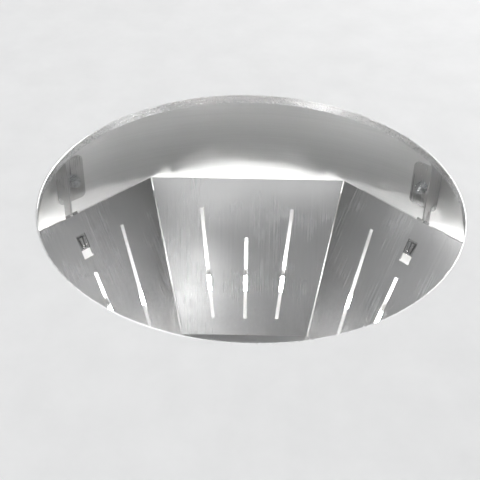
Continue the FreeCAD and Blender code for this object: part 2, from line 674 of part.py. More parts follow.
def plenum_cone():
    """Cone behind the funnel, closed at the top by a lid with an eight-sided hole."""
    rise = FRAME_TOP - DRUM_TOP
    outer = Part.makeCone(CONE_BASE_R + LINER_T, CONE_TOP_R + LINER_T, rise, V(0, 0, DRUM_TOP))
    lid = Part.makeCylinder(CONE_TOP_R + LINER_T, LINER_T, V(0, 0, FRAME_TOP))
    hole = octagon(FRAME_INNER, FRAME_TOP, CONE_LID_TOP)
    return joined([outer.cut(cone_space()), lid.cut(hole)])


def cone_space():
    """Hollow inside the plenum cone."""
    return Part.makeCone(CONE_BASE_R, CONE_TOP_R, FRAME_TOP - DRUM_TOP, V(0, 0, DRUM_TOP))


# --- brackets, drawn at azimuth 0 and turned to their place -------------------

def stud_turn(azimuth):
    """Direction, plus or minus, in which a bracket's wall leg points."""
    return 1 if azimuth in (HINGED_AZIMUTHS[1], HINGED_AZIMUTHS[3]) else -1


def stud_bar(azimuth, radius, start, length):
    """Cylinder along a bracket's stud line."""
    bar = Part.makeCylinder(radius, length, V(start, 0, STUD_Z), X_AXIS)
    swing = math.degrees(STUD_OFFSET / DRUM_R) * stud_turn(azimuth)
    return turned(bar, azimuth + swing)


def wall_bracket(azimuth):
    """L-bracket: a leg that stands in from the drum wall and a leg that lies on it."""
    wall_out = DRUM_R - HOLE_GAP
    wall_in = wall_out - BRACKET_T
    half = BRACKET_T / 2
    top = FUNNEL_WIDE_Z + 2 * SIDE_FLANGE_DEPTH
    leg = box(BRACKET_INNER_R, wall_out - half, -half, half, BRACKET_BOTTOM, top)
    notch = box(BRACKET_NOTCH_R, DRUM_R, -half, half, BRACKET_NOTCH_Z, top)
    sweep = SLOPE_LENGTH + FIT_GAP * 2
    swing_space = along_y(sweep, -half, half, HINGE_X, HINGE_Z)
    side = stud_turn(azimuth)
    y0, y1 = sorted((-side * half, side * WALL_LEG_W))
    centre_y = (y0 + y1) / 2
    centre_z = (WALL_LEG_BOTTOM + WALL_LEG_TOP) / 2
    flat = slab((y1 - y0) / 2, (WALL_LEG_TOP - WALL_LEG_BOTTOM) / 2, WALL_LEG_CORNER_R, 0, DRUM_FLANGE_W)
    flat.rotate(V(0, 0, 0), X_AXIS, 90)
    flat.rotate(V(0, 0, 0), Z_AXIS, 90)
    flat.translate(V(wall_in - DRUM_FLANGE_W / 2, centre_y, centre_z))
    shell = tube(wall_in, wall_out, WALL_LEG_BOTTOM, WALL_LEG_TOP)
    wall_leg = shell.common(flat)
    notched = leg.cut([notch, swing_space])
    bracket = turned(joined([notched, wall_leg]), azimuth)
    return bracket.cut(stud_bar(azimuth, STUD_R + HOLE_GAP, STUD_INNER_END, 2 * DRUM_FLANGE_W))


def bracket_stud(azimuth):
    """Stud through the drum wall and bracket, with a flat head outside the drum."""
    shank = stud_bar(azimuth, STUD_R, STUD_INNER_END, DRUM_OUTER + STUD_HEAD_T - STUD_INNER_END)
    head = stud_bar(azimuth, STUD_HEAD_R, DRUM_OUTER, STUD_HEAD_T)
    return joined([shank, head])


def bracket_washer(azimuth):
    """Washer between bracket and nut."""
    seat = DRUM_R - HOLE_GAP - BRACKET_T
    disc = stud_bar(azimuth, WASHER_R, seat - WASHER_T - HOLE_GAP, WASHER_T)
    return disc.cut(stud_bar(azimuth, STUD_R + HOLE_GAP, STUD_INNER_END, 2 * DRUM_FLANGE_W))


def bracket_nut(azimuth):
    """Hexagon nut on the stud."""
    end = DRUM_R - 2 * HOLE_GAP - BRACKET_T - WASHER_T
    corner = NUT_FLATS / 2 / math.cos(math.pi / 6)
    angles = [i * math.pi / 3 for i in range(6)]
    outline = [V(end - NUT_HEIGHT, corner * math.cos(a), STUD_Z + corner * math.sin(a)) for a in angles]
    swing = math.degrees(STUD_OFFSET / DRUM_R) * stud_turn(azimuth)
    block = turned(prism(outline, NUT_HEIGHT, X_AXIS), azimuth + swing)
    return block.cut(stud_bar(azimuth, STUD_R + HOLE_GAP / 2, STUD_INNER_END, 2 * DRUM_FLANGE_W))


# --- lights ------------------------------------------------------------------

def light_bar(azimuth):
    """Metal channel behind a panel, on two legs that reach the plenum cone."""
    back = BAR_DEPTH + BAR_T
    channel = box(-BAR_HALF_LENGTH, BAR_HALF_LENGTH, BAR_START, BAR_START + BAR_WIDTH, BAR_DEPTH, back)
    middle = BAR_START + BAR_WIDTH / 2
    legs = [
        Part.makeCylinder(BAR_LEG_R, CONE_BASE_R, V(side * BAR_LEG_U, middle, back - BAR_T / 2)) for side in (-1, 1)
    ]
    trimmed = [on_slope(leg, azimuth).common(cone_space()) for leg in legs]
    return joined([on_slope(channel, azimuth)] + trimmed)


def light_lens(azimuth):
    """Diffusing strip on the front of a light bar."""
    strip = box(-BAR_HALF_LENGTH, BAR_HALF_LENGTH, BAR_START, BAR_START + BAR_WIDTH, BAR_DEPTH - LENS_T, BAR_DEPTH)
    return on_slope(strip, azimuth)


def light_driver():
    """Power supply for the lights, on top of the underside board."""
    length, width, height = DRIVER_SIZE
    case = slab(length / 2, width / 2, LENS_T, BOARD_T, BOARD_T + height)
    return moved(case, x=DRIVER_X)


# --- blower ------------------------------------------------------------------

def housing_block(shrink):
    """Outline of the blower housing, made smaller all round by a wall."""
    radius = HOUSING_R - shrink
    half = HOUSING_HALF_LENGTH - shrink
    neck = HOUSING_NECK_HALF - shrink
    drum = along_x(radius, -half, half, 0, AXIS_Z)
    return joined([drum, box(-half, half, -neck, neck, AXIS_Z, HOUSING_TOP - shrink)])


def blower_housing():
    """Hollow housing with an inlet at each end, a round outlet on top and ears."""
    shell = housing_block(0).cut(housing_block(SHELL_T))
    inlets = along_x(INLET_R, -HOUSING_HALF_LENGTH, HOUSING_HALF_LENGTH, 0, AXIS_Z)
    outlet = Part.makeCylinder(COLLAR_R - COLLAR_T, 4 * SHELL_T, V(0, 0, HOUSING_TOP - 2 * SHELL_T))
    ears = []
    holes = []
    for side in (-1, 1):
        y0, y1 = sorted((side * (HOUSING_R - SHELL_T / 2), side * (HOLDER_Y - BAR_HOLDER_T)))
        ears.append(box(-EAR_HALF_LENGTH, EAR_HALF_LENGTH, y0, y1, AXIS_Z - EAR_HALF_HEIGHT, AXIS_Z + EAR_HALF_HEIGHT))
    for x, side in blower_screw_spots():
        y0, y1 = sorted((side * HOUSING_R, side * HOLDER_Y))
        holes.append(along_y(SMALL_SCREW_R + HOLE_GAP, y0, y1, x, AXIS_Z))
    hollow = along_x(HOUSING_R - SHELL_T, -HOUSING_HALF_LENGTH + SHELL_T, HOUSING_HALF_LENGTH - SHELL_T, 0, AXIS_Z)
    body = joined([shell] + [ear.cut(hollow) for ear in ears])
    return body.cut([inlets, outlet] + holes)


def blower_screw_spots():
    """X place and side of each screw that holds the housing to its bars."""
    return [(sx * EAR_HALF_LENGTH * 3 / 4, side) for sx in (-1, 1) for side in (-1, 1)]


def blower_screws():
    """Screws through the cross bars into the housing's ears."""
    return [
        pan_screw(
            SMALL_SCREW_R, BAR_HOLDER_T + HOUSING_R / 16, SMALL_HEAD_R, SMALL_HEAD_H,
            V(x, side * HOLDER_Y, AXIS_Z), V(0, -side, 0),
        )
        for x, side in blower_screw_spots()
    ]


def cross_bars():
    """Two flat bars between the rails that carry the blower."""
    bars = []
    for side in (-1, 1):
        y0, y1 = sorted((side * (HOLDER_Y - BAR_HOLDER_T), side * HOLDER_Y))
        end = RAIL_X - RAIL_T
        bar = box(-end, end, y0, y1, AXIS_Z - BAR_HOLDER_HALF_H, AXIS_Z + BAR_HOLDER_HALF_H)
        holes = [along_y(SMALL_SCREW_R + HOLE_GAP, y0, y1, x, AXIS_Z) for x, place in blower_screw_spots()
                 if place == side]
        bars.append(bar.cut(holes))
    return bars


def blower_wheel():
    """Double-inlet wheel: hub, middle disc, leaning blades and two end rings."""
    bore = along_x(SHAFT_R + PIN_GAP, -HUB_HALF_LENGTH, HUB_HALF_LENGTH, 0, AXIS_Z)
    pieces = [
        along_x(HUB_R, -HUB_HALF_LENGTH, HUB_HALF_LENGTH, 0, AXIS_Z),
        along_x(WHEEL_R - BLADE_T, -WHEEL_DISC_T / 2, WHEEL_DISC_T / 2, 0, AXIS_Z),
    ]
    for side in (-1, 1):
        x0, x1 = sorted((side * WHEEL_HALF_LENGTH, side * (WHEEL_HALF_LENGTH - WHEEL_RING_T)))
        pieces.append(along_x(WHEEL_R, x0, x1, 0, AXIS_Z).cut(along_x(WHEEL_R - WHEEL_RING_W, x0, x1, 0, AXIS_Z)))
    middle = WHEEL_R - BLADE_DEPTH / 2 - BLADE_T
    for i in range(WHEEL_BLADES):
        blade = box(
            -WHEEL_HALF_LENGTH + WHEEL_RING_T / 2, WHEEL_HALF_LENGTH - WHEEL_RING_T / 2,
            middle - BLADE_DEPTH / 2, middle + BLADE_DEPTH / 2,
            AXIS_Z - BLADE_T / 2, AXIS_Z + BLADE_T / 2,
        )
        blade.rotate(V(0, middle, AXIS_Z), X_AXIS, BLADE_LEAN)
        blade.rotate(V(0, 0, AXIS_Z), X_AXIS, i * 360.0 / WHEEL_BLADES)
        pieces.append(blade)
    return joined(pieces).cut(bore)


def motor_rotor():
    """Rotor core on the motor shaft, which carries the wheel."""
    end = MOTOR_START + MOTOR_LENGTH
    middle = MOTOR_START + MOTOR_LENGTH / 2
    shaft = along_x(SHAFT_R, -HUB_HALF_LENGTH, end, 0, AXIS_Z)
    return joined([shaft, along_x(ROTOR_R, middle - STATOR_LENGTH / 2, middle + STATOR_LENGTH / 2, 0, AXIS_Z)])


def motor_shell():
    """Hollow motor case with a bearing seat in each end."""
    end = MOTOR_START + MOTOR_LENGTH
    case = along_x(MOTOR_R, MOTOR_START, end, 0, AXIS_Z)
    hollow = along_x(MOTOR_R - MOTOR_WALL, MOTOR_START + BEARING_W, end - BEARING_W, 0, AXIS_Z)
    return case.cut([hollow, along_x(BEARING_R, MOTOR_START, end, 0, AXIS_Z)])


def motor_stator():
    """Wound core fixed inside the motor case."""
    middle = MOTOR_START + MOTOR_LENGTH / 2
    ends = (middle - STATOR_LENGTH / 2, middle + STATOR_LENGTH / 2)
    return along_x(MOTOR_R - MOTOR_WALL, *ends, 0, AXIS_Z).cut(along_x(STATOR_BORE_R, *ends, 0, AXIS_Z))


def shaft_bearings():
    """Two bearings that carry the shaft in the motor case."""
    end = MOTOR_START + MOTOR_LENGTH
    rings = []
    for x0 in (MOTOR_START, end - BEARING_W):
        ring = along_x(BEARING_R, x0, x0 + BEARING_W, 0, AXIS_Z)
        rings.append(ring.cut(along_x(SHAFT_R + PIN_GAP, x0, x0 + BEARING_W, 0, AXIS_Z)))
    return rings


def motor_bracket():
    """Three-armed bracket that holds the motor at the end of the housing."""
    x0 = MOTOR_START + MOTOR_LENGTH
    pieces = [along_x(MOTOR_R, x0, x0 + SPIDER_T, 0, AXIS_Z)]
    half = SPIDER_ARM_W / 2
    for i in range(3):
        arm = box(x0, x0 + SPIDER_T, -half, half, AXIS_Z + HUB_R, AXIS_Z + SPIDER_REACH)
        foot = box(HOUSING_HALF_LENGTH, x0 + SPIDER_T, -half, half, AXIS_Z + SPIDER_FOOT_R, AXIS_Z + SPIDER_REACH)
        for piece in (arm, foot):
            piece.rotate(V(0, 0, AXIS_Z), X_AXIS, 60 + i * 120.0)
            pieces.append(piece)
    return joined(pieces).cut(along_x(BEARING_R, x0, x0 + SPIDER_T, 0, AXIS_Z))


def capacitor():
    """Motor capacitor on the housing's end wall."""
    z = AXIS_Z + (INLET_R + HOUSING_NECK_HEIGHT) / 2
    return along_x(CAPACITOR_R, -HOUSING_HALF_LENGTH - CAPACITOR_LENGTH, -HOUSING_HALF_LENGTH, CAPACITOR_Y, z)


def outlet_collar():
    """Round spigot for the duct, with a flange and two stops for the damper."""
    z1 = HOUSING_TOP + COLLAR_HEIGHT
    inner = COLLAR_R - COLLAR_T
    pieces = [tube(inner, COLLAR_R, HOUSING_TOP, z1), tube(inner, COLLAR_FLANGE_R, HOUSING_TOP, HOUSING_TOP + COLLAR_T)]
    stop_top = DAMPER_Z - FLAP_T / 2 - FIT_GAP
    for side in (-1, 1):
        y0, y1 = sorted((side * (inner - SEAT_TAB_DEPTH), side * (inner + COLLAR_T / 2)))
        pieces.append(box(-SEAT_TAB_HALF, SEAT_TAB_HALF, y0, y1, stop_top - COLLAR_T, stop_top))
    hole = along_x(DAMPER_PIN_R + HOLE_GAP, -COLLAR_R, COLLAR_R, 0, DAMPER_Z)
    return joined(pieces).cut(hole)


def damper_pin():
    """Pin across the collar that both flaps turn on."""
    return along_x(DAMPER_PIN_R, -COLLAR_R, COLLAR_R, 0, DAMPER_Z)


def damper_flap(side):
    """Half-round flap with its own knuckles along the shared pin."""
    radius = COLLAR_R - COLLAR_T - FLAP_EDGE_GAP
    z0 = DAMPER_Z - FLAP_T / 2
    disc = Part.makeCylinder(radius, FLAP_T, V(0, 0, z0))
    y0, y1 = sorted((side * FLAP_START, side * COLLAR_R))
    pieces = [disc.common(box(-COLLAR_R, COLLAR_R, y0, y1, z0, z0 + FLAP_T))]
    first = -3 if side > 0 else -2
    bores = []
    for step in range(first, 3, 2):
        x0 = step * FLAP_KNUCKLE_STEP + FIT_GAP
        x1 = x0 + FLAP_KNUCKLE_W
        web_y = sorted((0, side * (FLAP_START + FLAP_T)))
        pieces.append(along_x(FLAP_KNUCKLE_R, x0, x1, 0, DAMPER_Z))
        pieces.append(box(x0, x1, web_y[0], web_y[1], z0, z0 + FLAP_T))
        bores.append(along_x(DAMPER_PIN_R + PIN_GAP, x0, x1, 0, DAMPER_Z))
    return joined(pieces).cut(bores)


# --- chimney -----------------------------------------------------------------

def cover(half_l, half_w, corner_r, z0, z1):
    """Rectangular chimney tube."""
    inner = slab(half_l - SHELL_T, half_w - SHELL_T, corner_r - SHELL_T, z0, z1)
    return slab(half_l, half_w, corner_r, z0, z1).cut(inner)


def lower_cover():
    """Outer chimney cover, which rests on the canopy and slides up."""
    return cover(LOWER_HALF_L, LOWER_HALF_W, CHIMNEY_CORNER_R, CANOPY_TOP + HOLE_GAP, LOWER_COVER_TOP)


def cover_screw_spots():
    """Sides on which the upper cover is screwed to the ceiling plate."""
    return (-1, 1)


def upper_cover():
    """Inner chimney cover, screwed to the ceiling plate's lugs."""
    tube_piece = cover(UPPER_HALF_L, UPPER_HALF_W, UPPER_CORNER_R, LOWER_COVER_TOP - COVER_OVERLAP, TOTAL_HEIGHT)
    hole = along_x(SMALL_SCREW_R + HOLE_GAP, -LOWER_HALF_L, LOWER_HALF_L, 0, TOTAL_HEIGHT - COVER_SCREW_DROP)
    return tube_piece.cut(hole)


def cover_screws():
    """Screws through the upper cover into the ceiling plate's lugs."""
    z = TOTAL_HEIGHT - COVER_SCREW_DROP
    return [
        pan_screw(SMALL_SCREW_R, 4 * SHELL_T, SMALL_HEAD_R, SMALL_HEAD_H, V(s * UPPER_HALF_L, 0, z), V(-s, 0, 0))
        for s in cover_screw_spots()
    ]


def rail_bolt_spots():
    """Centre of each rail foot."""
    inset = RAIL_T + (RAIL_LEG - RAIL_T) / 2
    return [(sx * (RAIL_X - inset), sy * (RAIL_Y - inset)) for sx in (-1, 1) for sy in (-1, 1)]


def support_rail(sx, sy):
    """Angle rail from the canopy top to the ceiling plate, with a foot at each end."""
    def corner_box(x_in, y_in, z0, z1):
        x0, x1 = sorted((sx * RAIL_X, sx * (RAIL_X - x_in)))
        y0, y1 = sorted((sy * RAIL_Y, sy * (RAIL_Y - y_in)))
        return box(x0, x1, y0, y1, z0, z1)
    pieces = [
        corner_box(RAIL_T, RAIL_LEG, CANOPY_TOP, PLATE_BOTTOM),
        corner_box(RAIL_LEG, RAIL_T, CANOPY_TOP, PLATE_BOTTOM),
        corner_box(RAIL_LEG, RAIL_LEG, CANOPY_TOP, CANOPY_TOP + FOOT_T),
        corner_box(RAIL_LEG, RAIL_LEG, PLATE_BOTTOM - FOOT_T, PLATE_BOTTOM),
    ]
    inset = RAIL_T + (RAIL_LEG - RAIL_T) / 2
    bore = Part.makeCylinder(
        BOLT_R + HOLE_GAP, TOTAL_HEIGHT, V(sx * (RAIL_X - inset), sy * (RAIL_Y - inset), 0)
    )
    return joined(pieces).cut(bore)


def rail_bolts():
    """Bolts through the rails' feet, into the canopy top and the ceiling plate."""
    bolts = []
    for x, y in rail_bolt_spots():
        low = V(x, y, CANOPY_TOP + FOOT_T)
        high = V(x, y, PLATE_BOTTOM - FOOT_T)
        bolts.append(pan_screw(BOLT_R, FOOT_T + SHELL_T, BOLT_HEAD_R, BOLT_HEAD_H, low, V(0, 0, -1)))
        bolts.append(pan_screw(BOLT_R, FOOT_T + PLATE_T / 2, BOLT_HEAD_R, BOLT_HEAD_H, high, Z_AXIS))
    return bolts


def ceiling_plate():
    """Plate that is bolted to the ceiling, with the duct hole and the cover's lugs."""
    pieces = [slab(PLATE_HALF_L, PLATE_HALF_W, UPPER_CORNER_R - SHELL_T, PLATE_BOTTOM, TOTAL_HEIGHT)]
    cuts = [Part.makeCylinder(DUCT_HOLE_R, PLATE_T, V(0, 0, PLATE_BOTTOM))]
    for sx in (-1, 1):
        x0, x1 = sorted((sx * PLATE_HALF_L, sx * (PLATE_HALF_L - SHELL_T)))
        pieces.append(box(x0, x1, -PLATE_LUG_HALF, PLATE_LUG_HALF, PLATE_BOTTOM - PLATE_LUG_HEIGHT, PLATE_BOTTOM))
        for sy in (-1, 1):
            spot = V(sx * MOUNT_SPACING_X / 2, sy * MOUNT_SPACING_Y / 2, PLATE_BOTTOM)
            cuts.append(Part.makeCylinder(MOUNT_HOLE_R, PLATE_T, spot))
    for x, y in rail_bolt_spots():
        cuts.append(Part.makeCylinder(BOLT_R + HOLE_GAP, PLATE_T / 2 + HOLE_GAP, V(x, y, PLATE_BOTTOM)))
    cuts.append(Part.makeCylinder(GROMMET_R + HOLE_GAP, PLATE_T, V(TERMINAL_X, GROMMET_Y, PLATE_BOTTOM)))
    cuts.append(along_x(SMALL_SCREW_R + HOLE_GAP, -LOWER_HALF_L, LOWER_HALF_L, 0, TOTAL_HEIGHT - COVER_SCREW_DROP))
    return joined(pieces).cut(cuts)


def cable_grommet():
    """Rubber ring that lines the cable hole in the ceiling plate."""
    body = Part.makeCylinder(GROMMET_R, PLATE_T, V(0, 0, PLATE_BOTTOM))
    lip = Part.makeCylinder(GROMMET_R + GROMMET_LIP, SHELL_T, V(0, 0, PLATE_BOTTOM - SHELL_T))
    bore = Part.makeCylinder(GROMMET_BORE_R, PLATE_T + SHELL_T, V(0, 0, PLATE_BOTTOM - SHELL_T))
    return moved(joined([body, lip]).cut(bore), TERMINAL_X, GROMMET_Y)


def terminal_box():
    """Hollow wiring box under the ceiling plate, with a gland hole in its floor."""
    length, width, height = TERMINAL_BOX
    wall = TERMINAL_WALL
    z0 = PLATE_BOTTOM - height
    outer = slab(length / 2, width / 2, 2 * wall, z0, PLATE_BOTTOM)
    inner = slab(length / 2 - wall, width / 2 - wall, wall, z0 + wall, PLATE_BOTTOM)
    hole = Part.makeCylinder(GLAND_R + HOLE_GAP, wall, V(0, 0, z0))
    return moved(outer.cut([inner, hole]), TERMINAL_X)


def cable_gland():
    """Gland in the floor of the wiring box."""
    z0 = PLATE_BOTTOM - TERMINAL_BOX[2]
    stem = Part.makeCylinder(GLAND_R, GLAND_LENGTH, V(0, 0, z0 - GLAND_LENGTH / 2))
    cap = Part.makeCylinder(GLAND_R + GROMMET_LIP, GLAND_LENGTH / 2, V(0, 0, z0 - GLAND_LENGTH / 2))
    bore = Part.makeCylinder(GLAND_R / 2, GLAND_LENGTH, V(0, 0, z0 - GLAND_LENGTH / 2))
    return moved(joined([stem, cap]).cut(bore), TERMINAL_X)


# --- controls ----------------------------------------------------------------

FASCIA_BACK = -HALF_W + FASCIA_BODY_T


def button_x(index):
    """Place of a button along the fascia."""
    return FASCIA_X + (index - (len(BUTTON_NAMES) - 1) / 2) * BUTTON_SPACING


def control_fascia():
    """Button panel set in the skirt, with two posts for the circuit board."""
    x0 = FASCIA_X - FASCIA_HALF_LENGTH
    x1 = FASCIA_X + FASCIA_HALF_LENGTH
    low = FASCIA_HEIGHT - FASCIA_HALF_HEIGHT
    high = FASCIA_HEIGHT + FASCIA_HALF_HEIGHT
    lip = FASCIA_LIP
    pieces = [
        box(x0, x1, -HALF_W - FASCIA_LIP_T, -HALF_W, low, high),
        box(x0 + lip, x1 - lip, -HALF_W - FASCIA_LIP_T, FASCIA_BACK, low + lip, high - lip),
    ]
    for side in (-1, 1):
        x = FASCIA_X + side * BOARD_POST_X
        pieces.append(along_y(BOARD_POST_R, FASCIA_BACK - FASCIA_LIP_T, circuit_front(), x, FASCIA_HEIGHT))
    holes = [
        along_y(BUTTON_R + BUTTON_GAP, -HALF_W - 2 * FASCIA_LIP_T, FASCIA_BACK, button_x(i), FASCIA_HEIGHT)
        for i in range(len(BUTTON_NAMES))
    ]
    return joined(pieces).cut(holes)


def circuit_front():
    """Y place of the circuit board's front face."""
    stem_end = FASCIA_BACK + FIT_GAP + BUTTON_FLANGE_T + BUTTON_STEM_LENGTH
    return stem_end + BUTTON_TRAVEL + FIT_GAP + SWITCH_HEIGHT


def push_button(index):
    """Round cap with a retaining flange and a stem that meets its switch."""
    x = button_x(index)
    flange = FASCIA_BACK + FIT_GAP
    stem = flange + BUTTON_FLANGE_T
    cap = along_y(BUTTON_R, -HALF_W - FASCIA_LIP_T - BUTTON_PROUD, stem, x, FASCIA_HEIGHT)
    ring = along_y(BUTTON_FLANGE_R, flange, stem, x, FASCIA_HEIGHT)
    return joined([cap, ring, along_y(BUTTON_STEM_R, flange, stem + BUTTON_STEM_LENGTH, x, FASCIA_HEIGHT)])


def control_board():
    """Circuit board with one switch behind each button."""
    front = circuit_front()
    pieces = [
        box(
            FASCIA_X - CIRCUIT_HALF_LENGTH, FASCIA_X + CIRCUIT_HALF_LENGTH, front, front + CIRCUIT_T,
            FASCIA_HEIGHT - CIRCUIT_HALF_HEIGHT, FASCIA_HEIGHT + CIRCUIT_HALF_HEIGHT,
        )
    ]
    for i in range(len(BUTTON_NAMES)):
        x = button_x(i)
        pieces.append(
            box(
                x - SWITCH_HALF, x + SWITCH_HALF, front - SWITCH_HEIGHT, front,
                FASCIA_HEIGHT - SWITCH_HALF, FASCIA_HEIGHT + SWITCH_HALF,
            )
        )
    return joined(pieces)


def build_canopy():
    """Canopy, underside, rim and drum."""
    save("canopy_skirt", canopy_skirt())
    save("canopy_top", canopy_top())
    save("underside_panel", underside_panel())
    save("rim_ring", rim_ring())
    save("liner_drum", liner_drum())
    save("plenum_cone", plenum_cone())


def build_funnel():
    """Funnel panels, hinges, catches and throat frame."""
    save("throat_frame", throat_frame())
    for name, azimuth in zip(SIDE_NAMES, FIXED_AZIMUTHS):
        save("fixed_panel_" + name, fixed_panel(azimuth))
    for name, azimuth in zip(CORNER_NAMES, HINGED_AZIMUTHS):
        save("hinged_panel_" + name, hinged_panel(azimuth))
        save("finger_catch_" + name, finger_catch(azimuth))
        save("catch_spring_" + name, catch_spring(azimuth))
    save("wall_brackets", [wall_bracket(azimuth) for azimuth in HINGED_AZIMUTHS])
    save("hinge_rods", [hinge_rod(azimuth) for azimuth in HINGED_AZIMUTHS])
    save("bracket_studs", [bracket_stud(azimuth) for azimuth in HINGED_AZIMUTHS])
    save("bracket_washers", [bracket_washer(azimuth) for azimuth in HINGED_AZIMUTHS])
    save("bracket_nuts", [bracket_nut(azimuth) for azimuth in HINGED_AZIMUTHS])


def build_lights():
    """Light bars, their lenses and their driver."""
    azimuths = [i * SIDE_ANGLE for i in range(SIDES)]
    save("light_bars", [light_bar(azimuth) for azimuth in azimuths])
    save("light_lenses", [light_lens(azimuth) for azimuth in azimuths])
    save("light_driver", light_driver())


def build_blower():
    """Blower, motor, collar and damper."""
    save("blower_housing", blower_housing())
    save("cross_bars", cross_bars())
    save("blower_wheel", blower_wheel())
    save("motor_rotor", motor_rotor())
    save("motor_shell", motor_shell())
    save("motor_stator", motor_stator())
    save("shaft_bearings", shaft_bearings())
    save("motor_bracket", motor_bracket())
    save("capacitor", capacitor())
    save("outlet_collar", outlet_collar())
    save("damper_pin", damper_pin())
    save("damper_flap_1", damper_flap(1))
    save("damper_flap_2", damper_flap(-1))


def build_chimney():
    """Chimney covers, support frame and ceiling plate."""
    save("lower_cover", lower_cover())
    save("upper_cover", upper_cover())
    save("support_rails", [support_rail(sx, sy) for sx in (-1, 1) for sy in (-1, 1)])
    save("rail_bolts", rail_bolts())
    save("ceiling_plate", ceiling_plate())
    save("cable_grommet", cable_grommet())
    save("terminal_box", terminal_box())
    save("cable_gland", cable_gland())


def build_controls():
    """Fascia, circuit board and push buttons."""
    save("control_fascia", control_fascia())
    save("control_board", control_board())
    for index, name in enumerate(BUTTON_NAMES):
        save(name, push_button(index))


def build_screws():
    """Small pan-head screws, which are all the same size across."""
    save("pan_screws", skirt_screws() + panel_screws() + blower_screws() + cover_screws())


os.makedirs("parts", exist_ok=True)
build_canopy()
build_funnel()
build_lights()
build_blower()
build_chimney()
build_controls()
build_screws()
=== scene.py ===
"""Looks of the island range hood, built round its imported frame."""

from __future__ import annotations

import json
import logging
import math
from dataclasses import dataclass
from enum import Enum
from typing import Callable, ClassVar, Iterable, Sequence

import bmesh
import bpy
from mathutils import Matrix, Vector

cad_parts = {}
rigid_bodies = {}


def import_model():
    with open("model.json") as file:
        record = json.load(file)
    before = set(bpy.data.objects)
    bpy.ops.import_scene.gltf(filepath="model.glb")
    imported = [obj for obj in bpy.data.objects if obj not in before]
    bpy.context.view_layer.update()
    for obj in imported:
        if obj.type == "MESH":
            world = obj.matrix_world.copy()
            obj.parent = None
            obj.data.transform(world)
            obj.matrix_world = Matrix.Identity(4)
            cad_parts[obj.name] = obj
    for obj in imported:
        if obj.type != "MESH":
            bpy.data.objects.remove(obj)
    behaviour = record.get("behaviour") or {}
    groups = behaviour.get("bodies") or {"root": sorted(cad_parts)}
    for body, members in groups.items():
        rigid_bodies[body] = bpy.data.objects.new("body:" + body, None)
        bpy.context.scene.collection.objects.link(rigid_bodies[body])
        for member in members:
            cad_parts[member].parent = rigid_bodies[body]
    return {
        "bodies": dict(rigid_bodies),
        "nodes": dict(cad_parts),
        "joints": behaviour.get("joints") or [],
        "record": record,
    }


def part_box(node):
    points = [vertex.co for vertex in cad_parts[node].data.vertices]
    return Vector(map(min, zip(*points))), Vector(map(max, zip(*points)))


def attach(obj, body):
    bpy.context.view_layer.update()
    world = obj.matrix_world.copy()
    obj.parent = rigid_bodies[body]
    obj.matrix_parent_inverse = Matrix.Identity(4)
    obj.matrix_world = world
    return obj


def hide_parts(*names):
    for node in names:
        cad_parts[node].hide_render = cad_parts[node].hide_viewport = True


LOG = logging.getLogger("range_hood")

MM = 0.001
MERGE_DISTANCE = 0.01 * MM
FLAT_ANGLE = math.radians(0.5)
SHARP_ANGLE = math.radians(32.0)

Colour = tuple[float, float, float]
Triple = tuple[float, float, float]


# --- node graphs ---------------------------------------------------------------


